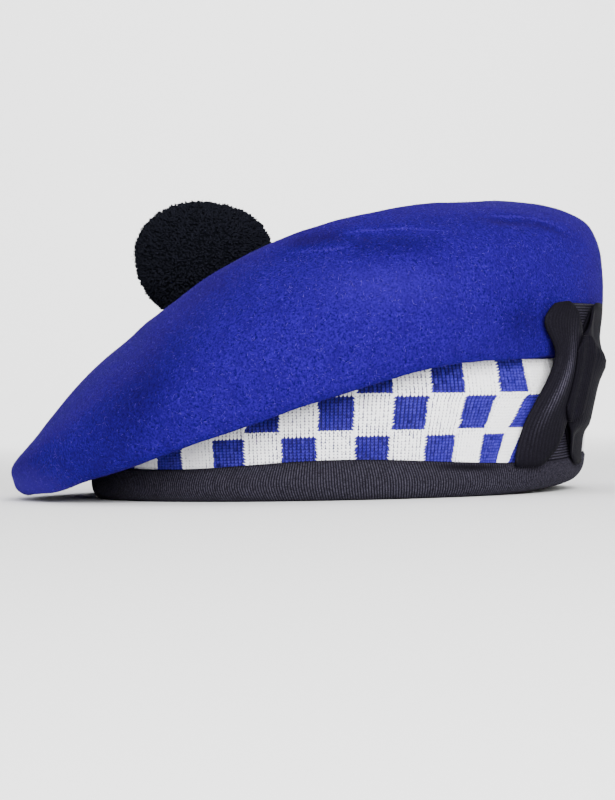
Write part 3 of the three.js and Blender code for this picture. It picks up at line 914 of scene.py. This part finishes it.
# Loose wool fibre, dyed: thin and matt, and unevenly taken by the dye, so single hairs are paler or
# darker than the felt they lie on.
nap_wool = bare_material("wool_fibre_dyed")
hair = add_node(nap_wool, "ShaderNodeAttribute", {}, attribute_name="hair").outputs["Fac"]
hair_colour = add_node(
    nap_wool,
    "ShaderNodeMix",
    {0: hair, 6: linear("#0e0040"), 7: linear("#5846b4")},
    data_type="RGBA",
).outputs[2]
surface = add_node(
    nap_wool,
    "ShaderNodeBsdfPrincipled",
    {"Base Color": hair_colour, "Roughness": 0.9, "Specular IOR Level": 0.02},
)
add_node(nap_wool, "ShaderNodeOutputMaterial", {"Surface": surface.outputs["BSDF"]})
build_piece("crown_nap", nap_points, nap_quads, nap_wool, shades={"hair": nap_shade})


# Toorie: a pompom of black wool. Yarn is wound on a ring, tied, cut and trimmed to a ball, and the
# tie is drawn down tight on the crown's middle.
TOORIE_MIDDLE = np.array([-38.73, 0, 88.35])
TOORIE_TILT = math.radians(-9)
TOORIE_LEAN = math.radians(21)
TOORIE_RADII = np.array([27.0, 27.0, 22.8])
TOORIE_BASE = 19.7
YARN_ENDS = 9600
YARN_RADIUS = 0.46
# Rows of a yarn end: how far out, how thick, and how frayed it is there.
YARN_ROWS = ((0.9, 0.9, 0.0), (0.975, 1.0, 0.7), (1.0, 0.6, 1.0))
YARN_SIDES = 4
THICK_RANGE = (0.8, 1.25)
END_STRAY = 0.018
ROOT_STRAY = 0.05
SEWN_BELOW = -0.9
TRIM_UNEVEN = 0.010
TRIM_SHORT = 0.02
SHORT_RARELY = 6
TUFT_RISE = 0.036
TUFT_SIZE = 0.09
LUMP_SPREAD = 0.12
STRAY_HAIRS = 3600
STRAY_LOW = 0.3
STRAY_CURL = 0.05
STRAY_ROOT = 0.985
STRAY_SHORT = 0.015
STRAY_LONG = 0.075
LONG_RARELY = 4
# Rows of a stray hair: how far along it, and its half width there.
STRAY_ROWS = ((0.0, 0.05), (0.6, 0.04), (1.0, 0.015))
ASKEW = np.array([0.31, 0.83, 0.46])
GOLDEN_TURN = math.pi * (3 - math.sqrt(5))
# Directions in which the trimming left it a little full or flat, and by what share of its radius.
TRIM_LUMPS = (((0.82, 0, 0.57), 0.075), ((-0.99, 0, -0.1), -0.05))


def tipped(points, angle):
    """Points turned about the line from brow to nape."""
    x = points[..., 0] * math.cos(angle) + points[..., 2] * math.sin(angle)
    z = points[..., 2] * math.cos(angle) - points[..., 0] * math.sin(angle)
    return np.stack([x, points[..., 1], z], axis=-1)


def on_ball(ball):
    """Places on the lopsided pompom, from places in a ball of radius 1, flat where it is sewn on."""
    local = tipped(ball * TOORIE_RADII, TOORIE_LEAN)
    local[..., 2] = np.maximum(local[..., 2], -TOORIE_BASE)
    local = tipped(local, TOORIE_TILT)
    bulge = np.zeros(len(local))
    for way, rise in TRIM_LUMPS:
        bulge += rise * np.exp((unit(local) @ np.array(way) - 1) / LUMP_SPREAD)
    return TOORIE_MIDDLE + local * (1 + bulge[:, None])


def sideways(ways):
    """Two directions square to each of these."""
    first = unit(np.cross(ways, ASKEW))
    return first, np.cross(ways, first)


end_rise = 1 - (2 * np.arange(YARN_ENDS) + 1) / YARN_ENDS
end_turn = GOLDEN_TURN * np.arange(YARN_ENDS)
end_reach = np.sqrt(1 - end_rise**2)
end_way = np.stack([end_reach * np.cos(end_turn), end_reach * np.sin(end_turn), end_rise], axis=1)
end_way = unit(end_way + chance.normal(0, END_STRAY, end_way.shape))
end_way = end_way[end_way[:, 2] > SEWN_BELOW]
end_count = len(end_way)
root_way = unit(end_way + chance.normal(0, ROOT_STRAY, end_way.shape))
end_trim = 1 + chance.normal(0, TRIM_UNEVEN, (end_count, 1))
end_trim -= TRIM_SHORT * chance.random((end_count, 1)) ** SHORT_RARELY
end_trim += TUFT_RISE * soft_noise(end_way, TUFT_SIZE)[:, None]
end_thick = chance.uniform(*THICK_RANGE, (end_count, 1))
side_a, side_b = sideways(end_way)
yarn_rings = []
for reach, thick, _ in YARN_ROWS:
    bend = (reach - YARN_ROWS[0][0]) / (1 - YARN_ROWS[0][0])
    spine = unit(root_way * (1 - bend) + end_way * bend) * reach * end_trim
    ring = []
    for corner_turn in np.arange(YARN_SIDES) * 2 * np.pi / YARN_SIDES:
        edge = side_a * math.cos(corner_turn) + side_b * math.sin(corner_turn)
        ring.append(spine + edge * end_thick * YARN_RADIUS * thick / TOORIE_RADII[0])
    yarn_rings.append(np.stack(ring, axis=1))
yarn_points = np.stack(yarn_rings, axis=1)
ring_total = len(YARN_ROWS) * YARN_SIDES
end_quads = grid_quads(len(YARN_ROWS), YARN_SIDES, ring_columns=True)
end_cap = np.arange(ring_total - YARN_SIDES, ring_total)[None, :]
end_quads = np.concatenate([end_quads, end_cap])
yarn_quads = (ring_total * np.arange(end_count)[:, None, None] + end_quads).reshape(-1, 4)
yarn_shade = np.repeat(chance.random(end_count), ring_total)
yarn_depth = np.tile(np.repeat([fray for _, _, fray in YARN_ROWS], YARN_SIDES), end_count)

# The yarn under the ends.
CORE_SHARE = 0.955
CORE_ROWS = 40
CORE_COLUMNS = 80
CORE_POLE = 0.02
core_tilt, core_turn = np.meshgrid(
    np.linspace(CORE_POLE, np.pi - CORE_POLE, CORE_ROWS),
    np.arange(CORE_COLUMNS) * 2 * np.pi / CORE_COLUMNS,
    indexing="ij",
)
core_way = np.stack(
    [np.sin(core_tilt) * np.cos(core_turn), np.sin(core_tilt) * np.sin(core_turn), np.cos(core_tilt)],
    axis=-1,
).reshape(-1, 3)
core_points = core_way * CORE_SHARE
core_quads = grid_quads(CORE_ROWS, CORE_COLUMNS, ring_columns=True)

# Stray fibres that have worked loose from the cut ends.
stray_way = unit(chance.normal(0, 1, (STRAY_HAIRS, 3)))
stray_way[:, 2] = np.abs(stray_way[:, 2] + STRAY_LOW) - STRAY_LOW
stray_way = unit(stray_way)
stray_side, stray_other = sideways(stray_way)
stray_curl = stray_side * chance.normal(0, STRAY_CURL, (STRAY_HAIRS, 1))
stray_curl += stray_other * chance.normal(0, STRAY_CURL, (STRAY_HAIRS, 1))
stray_long = STRAY_SHORT + STRAY_LONG * chance.random((STRAY_HAIRS, 1)) ** LONG_RARELY
stray_rows = []
for along, width in STRAY_ROWS:
    spine = stray_way * (STRAY_ROOT + stray_long * along) + stray_curl * along**2
    stray_rows.append(spine - stray_side * width / TOORIE_RADII[0])
    stray_rows.append(spine + stray_side * width / TOORIE_RADII[0])
stray_points = np.stack(stray_rows, axis=1)
stray_quads = (FIBRE_POINTS * np.arange(STRAY_HAIRS)[:, None, None] + fibre_quads).reshape(-1, 4)

# Woollen yarn, dyed black and cut: each end frays to a soft brush that throws back almost nothing,
# with a faint cool bloom on the tips.
black_wool = bare_material("black_wool_yarn_cut")
place = add_node(black_wool, "ShaderNodeTexCoord", {}).outputs["Object"]
lock = add_node(black_wool, "ShaderNodeAttribute", {}, attribute_name="lock").outputs["Fac"]
tip = add_node(black_wool, "ShaderNodeAttribute", {}, attribute_name="tip").outputs["Fac"]
# Frayed fibres are about 0.04 mm thick, and are drawn at 0.35 mm so that they show.
fray = add_node(
    black_wool,
    "ShaderNodeTexNoise",
    {"Vector": place, "Scale": per_metre(0.35), "Detail": 3.0, "Roughness": 0.7},
).outputs["Fac"]
lock_colour = add_node(
    black_wool,
    "ShaderNodeMix",
    {0: lock, 6: linear("#07080c"), 7: linear("#0f1017")},
    data_type="RGBA",
).outputs[2]
frayed = add_node(black_wool, "ShaderNodeMath", {0: fray, 1: tip}, operation="MULTIPLY").outputs[0]
yarn_colour = add_node(
    black_wool,
    "ShaderNodeMix",
    {0: frayed, 6: lock_colour, 7: linear("#17181f")},
    data_type="RGBA",
).outputs[2]
fray_bump = add_node(
    black_wool, "ShaderNodeBump", {"Strength": 0.5, "Distance": 0.0003, "Height": fray}
)
surface = add_node(
    black_wool,
    "ShaderNodeBsdfPrincipled",
    {
        "Base Color": yarn_colour,
        "Roughness": 1.0,
        "Specular IOR Level": 0.02,
        "Sheen Weight": 0.01,
        "Sheen Roughness": 0.6,
        "Sheen Tint": linear("#8a8c9c"),
        "Normal": fray_bump.outputs["Normal"],
    },
)
add_node(black_wool, "ShaderNodeOutputMaterial", {"Surface": surface.outputs["BSDF"]})
ball_parts = (
    (yarn_points.reshape(-1, 3), yarn_quads),
    (core_points, core_quads),
    (stray_points.reshape(-1, 3), stray_quads),
)
ball_points = np.concatenate([points for points, _ in ball_parts])
part_starts = np.cumsum([0] + [len(points) for points, _ in ball_parts[:-1]])
ball_quads = np.concatenate([quads + start for start, (_, quads) in zip(part_starts, ball_parts)])
core_total = len(core_points)
stray_total = FIBRE_POINTS * STRAY_HAIRS
build_piece(
    "toorie_yarn",
    on_ball(ball_points),
    ball_quads,
    black_wool,
    "toorie",
    {
        "lock": np.concatenate([yarn_shade, np.zeros(core_total), np.ones(stray_total)]),
        "tip": np.concatenate([yarn_depth, np.zeros(core_total), np.ones(stray_total)]),
    },
)


# Cockade: a flat bow of the same black ribbon on an upright tab of it, with a pad of ribbon over
# its pinched middle. It is sewn through the knitted wall and the felt on the wearer's left.
COCKADE_MIDDLE = 41
SIDE_RADIUS = 97
BRIDGE_FOOT = 22
BRIDGE_TOP = 56
FACET_HALF = math.radians(3)
RIBBON_WALL = 0.9
LOOK_FROM = 200
# FLAT_RIDGE sets the painted light of ribs pressed flat, kept low as painted shade on the bow.
FLAT_RIDGE = 0.34


def felt_out(turn, up):
    """How far out the crown's side stands, found by looking in at the solid from outside."""
    found = np.empty(turn.shape)
    for place in np.ndindex(turn.shape):
        way = Vector((-math.cos(turn[place]), -math.sin(turn[place]), 0))
        start = Vector(on_oval(turn[place], LOOK_FROM, up[place]) / 1000)
        found[place] = LOOK_FROM - 1000 * crown_tree.ray_cast(start, way)[3]
    return found


def on_side(along, up, proud):
    """Places on the cockade's side of the bonnet: along it towards the brow, up, and proud."""
    along, up, proud = np.broadcast_arrays(along, up, proud)
    turn = COCKADE_TURN - along / SIDE_RADIUS
    height = np.maximum(up, BRIDGE_TOP)
    felt_wall = sum(felt_out(turn + k * FACET_HALF, height) for k in (-1, 0, 1)) / 3
    share = smooth_step(up, BRIDGE_FOOT, BRIDGE_TOP)
    out = knit_face(turn, up) * (1 - share) + felt_wall * share
    return on_oval(turn, out + proud, up)


def ribbon_piece(name, node, front, back, ridge_values):
    """A ribbon with a front and a back face, given as rows along it and columns across it."""
    points = np.concatenate([front, back[:, ::-1]], axis=1)
    rows, columns = points.shape[:2]
    quads = grid_quads(rows, columns, ring_columns=True)
    half = columns // 2
    ends = []
    for row in (0, rows - 1):
        first = row * columns
        for step in range(half - 1):
            near = first + step
            beyond = first + columns - 2 - step
            ends.append([near, near + 1, beyond, beyond + 1])
    quads = np.concatenate([quads, np.array(ends)])
    ridges = np.concatenate([ridge_values, ridge_values[:, ::-1]], axis=1)
    build_piece(name, points, quads, grosgrain, node, {"painted_rib_light": ridges.ravel()})


# Tab: upright, with its ribs lying level.
TAB_HALF_WIDTH = 12
TAB_HIDDEN = 4
TAB_COLUMNS = 15
TAB_LIFT = 0.15
TAB_HEAD = 68.2
TAB_PROUD = 0.75
TAB_WALL = 0.8
tab_along = np.linspace(TAB_HALF_WIDTH, -TAB_HALF_WIDTH - TAB_HIDDEN, TAB_COLUMNS)
tab_foot = band_top(COCKADE_TURN - tab_along / SIDE_RADIUS) + TAB_LIFT
tab_ribs = round((TAB_HEAD - tab_foot.min()) / RIB_PITCH)
tab_phase = np.arange(tab_ribs * RIB_COLUMNS + 1) / RIB_COLUMNS
tab_up = tab_foot + (TAB_HEAD - tab_foot) * tab_phase[:, None] / tab_ribs
tab_rib = np.broadcast_to(rib_wave(tab_phase)[:, None], (len(tab_phase), len(tab_along)))
ribbon_piece(
    "cockade_tab_ribbon",
    "cockade_tab",
    on_side(tab_along, tab_up, TAB_PROUD + TAB_WALL / 2 + RIB_RISE * tab_rib),
    on_side(tab_along, tab_up, TAB_PROUD - TAB_WALL / 2),
    tab_rib,
)

# Loops: each leaves the middle, swells, turns back on itself and returns to the middle beneath.
# The rows give how far along, how proud, and the heights of the ribbon's two edges there.
LOOP_PATH = np.array(
    [
        [0.6, 4.4, 25.4, 56.6],
        [4.0, 5.6, 20.5, 60.5],
        [8.0, 6.3, 15.0, 65.6],
        [14.0, 6.2, 10.4, 68.5],
        [20.0, 5.2, 10.0, 68.4],
        [22.8, 4.3, 10.0, 68.2],
        [24.0, 3.1, 10.2, 68.0],
        [22.8, 2.25, 10.4, 67.8],
        [16.0, 2.05, 11.0, 67.2],
        [9.0, 1.95, 17.0, 64.5],
        [2.0, 1.9, 27.0, 55.0],
    ]
)
# Seen at a slant, the loops' ribs are drawn about two thirds wider than real, so that they show.
LOOP_RIB_PITCH = 1.65
SPLAY_HALF = 27.5
LOOP_REACH = 24.0
LOOP_REST = 1.9
LOOP_ROWS = 26
PATH_STEPS = 600
EDGE_FLATNESS = 12
WAIST_UP = 48.5
WAIST_ABOVE = 9
WAIST_BELOW = 20
SWELL_START = 12
SHOULDER = 1.9
SHOULDER_UP = 61
SHOULDER_TALL = 5
SHOULDER_CUT = 2.4
SHOULDER_TOP = 69
FRONT_UP = 38
FRONT_TALL = 14
SHELF_RISE = (19.5, 25.5)
SHELF_FALL = (44, 62)
REAR_FALL = 0.9
SHELF_FULL = 0.62
PEAK_FULL = 0.42
PEAK_UP = 45.3
PEAK_SLANT = 9
PEAK_TALL = 4.6
BEND_ALONG = 11
BEND_SLANT = 0.29
BEND_FROM = 50
BEND_SPREAD = 3.5
BEND_UP = 40
BEND_TALL = 15
PRESSED_RISE = 0.4
PRESSED_RIDGE = 0.15
CRISP_RIDGE = 1.4


def through(rows, places):
    """A smooth path through rows of values, read at places counted in rows."""
    padded = np.concatenate([2 * rows[:1] - rows[1:2], rows, 2 * rows[-1:] - rows[-2:-1]])
    start = np.clip(places.astype(int), 0, len(rows) - 2)
    t = (places - start)[:, None]
    a, b, c, d = (padded[start + k] for k in range(4))
    bend = (2 * a - 5 * b + 4 * c - d) * t**2 + (3 * b - a - 3 * c + d) * t**3
    return 0.5 * (2 * b + (c - a) * t + bend)


fine_path = through(LOOP_PATH, np.linspace(0, len(LOOP_PATH) - 1, PATH_STEPS))
path_step = np.hypot(np.diff(fine_path[:, 0]), np.diff(fine_path[:, 1]))
path_far = np.concatenate([[0], np.cumsum(path_step)])
loop_ribs = round(path_far[-1] / LOOP_RIB_PITCH)
loop_phase = np.arange(loop_ribs * RIB_COLUMNS + 1) / RIB_COLUMNS
loop_far = loop_phase * path_far[-1] / loop_ribs
loop_along, loop_proud, loop_low, loop_high = (
    np.interp(loop_far, path_far, fine_path[:, k])[:, None] for k in range(4)
)
across_loop = np.linspace(0, 1, LOOP_ROWS)
loop_up = loop_low + (loop_high - loop_low) * across_loop
# The ribs die out at the ribbon's two woven edges.
loop_rib = rib_wave(loop_phase)[:, None] * (1 - np.abs(2 * across_loop - 1) ** EDGE_FLATNESS)


def front_fullness(along, up):
    return bell(up, FRONT_UP, FRONT_TALL)


def rear_fullness(along, up):
    """A peak where the ribbon creases, slanting down from the knot, over a shelf that stops short."""
    rise = smooth_step(up, *SHELF_RISE)
    fall = 1 - REAR_FALL * smooth_step(up, *SHELF_FALL)
    crease_up = PEAK_UP + PEAK_SLANT * (1 - along / LOOP_REACH)
    return rise * fall * (SHELF_FULL + PEAK_FULL * bell(up, crease_up, PEAK_TALL))


def loop_height(along, proud, up, fullness, swell, edge_swell):
    """How proud a loop stands: its front layer swells, and its return lies down on the tab."""
    full = edge_swell + (swell - edge_swell) * fullness(along, up)
    shape = 1 + smooth_step(along, 0, SWELL_START) * (full - 1)
    return LOOP_REST + (proud - LOOP_REST) * shape


# Each loop's fullness, and how much it swells where it is fullest and where it is flat.
FRONT_SWELL = (front_fullness, 1.0, 0.6)
REAR_SWELL = (rear_fullness, 1.55, 0.12)
for name, node, way, waist, splay, swelling in (
    ("cockade_front_ribbon", "cockade_front_loop", 1, 9, 3, FRONT_SWELL),
    ("cockade_rear_ribbon", "cockade_rear_loop", -1, 2, 0, REAR_SWELL),
):
    waist_tall = np.where(loop_up > WAIST_UP, WAIST_ABOVE, WAIST_BELOW)
    pinch = bell(loop_up, WAIST_UP, waist_tall)
    pull = splay * (COCKADE_MIDDLE - loop_up) / SPLAY_HALF - waist * pinch
    shoulder = bell(loop_up, SHOULDER_UP, SHOULDER_TALL)
    shoulder = shoulder - SHOULDER_CUT * smooth_step(loop_up, SHOULDER_UP, SHOULDER_TOP) ** 2
    pull = pull + (way == 1) * SHOULDER * shoulder
    along = loop_along + (loop_along / LOOP_REACH) ** 2 * pull
    proud = loop_height(loop_along, loop_proud, loop_up, *swelling)
    step_along = np.gradient(along, axis=0)
    step_proud = np.gradient(proud, axis=0)
    step_long = np.hypot(step_along, step_proud)
    # Handling has pressed the ribs flat. Their ridges show as light lines, a painted highlight, only
    # where the front loop bends; elsewhere the ribbon's colour is kept low, a painted shade.
    bend_along = BEND_ALONG + BEND_SLANT * (BEND_FROM - loop_up)
    crisp = bell(loop_along, bend_along, BEND_SPREAD) * bell(loop_up, BEND_UP, BEND_TALL) * (way == 1)
    faces = []
    for face in (1, -1):
        crisp_rise = PRESSED_RISE + (1 - PRESSED_RISE) * crisp
        stand = RIBBON_WALL / 2 + RIB_RISE * (loop_rib - 0.5) * crisp_rise
        face_along = along - face * stand * step_proud / step_long
        face_proud = proud + face * stand * step_along / step_long
        faces.append(on_side(way * face_along, loop_up, face_proud))
    ridges = FLAT_RIDGE + (loop_rib - FLAT_RIDGE) * (PRESSED_RIDGE + CRISP_RIDGE * crisp)
    ribbon_piece(name, node, faces[0], faces[1], np.maximum(ridges, 0))

# Knot: a pad of ribbon over both loops' pinched ends.
KNOT_HALF_WIDTH = 6.5
KNOT_HALF_HEIGHT = 15.6
KNOT_THICK = 1.6
KNOT_EDGE = 0.25
KNOT_LIFT = 0.3
KNOT_ROUNDING = 0.6
KNOT_ROWS = 20
KNOT_EDGE_SHADE = 0.6
KNOT_RIB_SHADE = 0.2
KNOT_RIB_LEVEL = 0.6
knot_ribs = round(2 * KNOT_HALF_WIDTH / RIB_PITCH)
knot_phase = np.arange(knot_ribs * RIB_COLUMNS + 1) / RIB_COLUMNS
knot_along = (KNOT_HALF_WIDTH * (1 - 2 * knot_phase / knot_ribs))[:, None]
knot_half = KNOT_HALF_HEIGHT * np.sqrt(1 - KNOT_ROUNDING * (knot_along / KNOT_HALF_WIDTH) ** 2)
knot_up = COCKADE_MIDDLE + knot_half * np.linspace(-1, 1, KNOT_ROWS)
front_path = LOOP_PATH[:4]
path_proud = np.interp(np.abs(knot_along), front_path[:, 0], front_path[:, 1])
front_side = loop_height(np.abs(knot_along), path_proud, knot_up, *FRONT_SWELL)
rear_side = loop_height(np.abs(knot_along), path_proud, knot_up, *REAR_SWELL)
knot_under = np.where(knot_along < 0, rear_side, front_side) + RIBBON_WALL / 2 + KNOT_LIFT
knot_rib = np.broadcast_to(rib_wave(knot_phase)[:, None], knot_up.shape)
knot_puff = np.sqrt(1 - (knot_along / KNOT_HALF_WIDTH) ** 2)
knot_thick = KNOT_EDGE + (KNOT_THICK - KNOT_EDGE) * knot_puff
# The pad's colour is painted darker towards its edges, where it rounds away, as painted shade.
knot_ridge = FLAT_RIDGE * (KNOT_EDGE_SHADE + (1 - KNOT_EDGE_SHADE) * knot_puff)
knot_ridge = knot_ridge + KNOT_RIB_SHADE * (knot_rib - KNOT_RIB_LEVEL)
ribbon_piece(
    "cockade_knot_ribbon",
    "cockade_knot",
    on_side(knot_along, knot_up, knot_under + knot_thick + RIB_RISE * knot_rib * knot_puff),
    on_side(knot_along, knot_up, knot_under),
    knot_ridge,
)


# Table, light and camera: a pale sweep of paper that rises behind the bonnet, lit by large soft
# lamps, and a long lens on a level with the diced band. Lengths here are in metres.
SWEEP_HALF = 4.0
SWEEP_BACK = 3.0
SWEEP_BEND = 1.1
SWEEP_STEPS = 16
sweep_profile = [(-SWEEP_HALF, 0.0), (0.0, 0.0), (SWEEP_BACK - SWEEP_BEND, 0.0)]
for bend_turn in np.linspace(0, math.pi / 2, SWEEP_STEPS + 1)[1:]:
    sweep_profile.append(
        (
            SWEEP_BACK - SWEEP_BEND + SWEEP_BEND * math.sin(bend_turn),
            SWEEP_BEND * (1 - math.cos(bend_turn)),
        )
    )
sweep_profile.append((SWEEP_BACK, SWEEP_HALF))
sweep_points = [(x, y, z) for y, z in sweep_profile for x in (-SWEEP_HALF, SWEEP_HALF)]
sweep_mesh = bpy.data.meshes.new("paper_sweep")
sweep_mesh.from_pydata(sweep_points, [], grid_quads(len(sweep_profile), 2).tolist())
sweep_mesh.shade_smooth()
# White seamless paper: matt, with a faint tooth.
paper = bare_material("white_paper_matt")
spot = add_node(paper, "ShaderNodeTexCoord", {}).outputs["Object"]
tooth = add_node(paper, "ShaderNodeTexNoise", {"Vector": spot, "Scale": per_metre(2)}).outputs["Fac"]
paper_bump = add_node(paper, "ShaderNodeBump", {"Strength": 0.03, "Height": tooth})
surface = add_node(
    paper,
    "ShaderNodeBsdfPrincipled",
    {
        "Base Color": linear("#f6f6f6"),
        "Roughness": 0.95,
        "Specular IOR Level": 0.1,
        "Normal": paper_bump.outputs["Normal"],
    },
)
add_node(paper, "ShaderNodeOutputMaterial", {"Surface": surface.outputs["BSDF"]})
sweep_mesh.materials.append(paper)
sweep = bpy.data.objects.new("paper_sweep", sweep_mesh)
bpy.context.scene.collection.objects.link(sweep)

world = bpy.data.worlds.new("studio")
bpy.context.scene.world = world
world.use_nodes = True
world.node_tree.nodes["Background"].inputs["Color"].default_value = (1, 1, 1, 1)
world.node_tree.nodes["Background"].inputs["Strength"].default_value = 0.55

BONNET_MIDDLE = (0, 0, 0.05)
PAPER_RISE = (0, 3.0, 0.5)
for lamp_name, place, aim, watts, size in (
    ("key_lamp", (0.45, -2.0, 0.75), BONNET_MIDDLE, 108, 1.1),
    ("fill_lamp", (-1.2, -1.6, 0.5), BONNET_MIDDLE, 14, 1.4),
    ("top_lamp", (0.0, 0.5, 1.9), BONNET_MIDDLE, 30, 2.0),
    ("paper_lamp", (0.0, 1.6, 1.6), PAPER_RISE, 60, 1.2),
):
    lamp_data = bpy.data.lights.new(lamp_name, "AREA")
    lamp_data.energy = watts
    lamp_data.size = size
    lamp = bpy.data.objects.new(lamp_name, lamp_data)
    lamp.location = place
    lamp.rotation_euler = (Vector(aim) - Vector(place)).to_track_quat("-Z", "Y").to_euler()
    bpy.context.scene.collection.objects.link(lamp)

CAMERA_FAR = 1.2
CAMERA_UP = 0.0353
CAMERA_ROLL = math.radians(1.2)
camera_data = bpy.data.cameras.new("camera")
camera_data.sensor_width = 36
camera_data.lens = 142.1
camera = bpy.data.objects.new("camera", camera_data)
camera.location = (0.0, -CAMERA_FAR, CAMERA_UP)
camera.rotation_euler = (math.pi / 2, CAMERA_ROLL, 0)
bpy.context.scene.collection.objects.link(camera)
bpy.context.scene.camera = camera
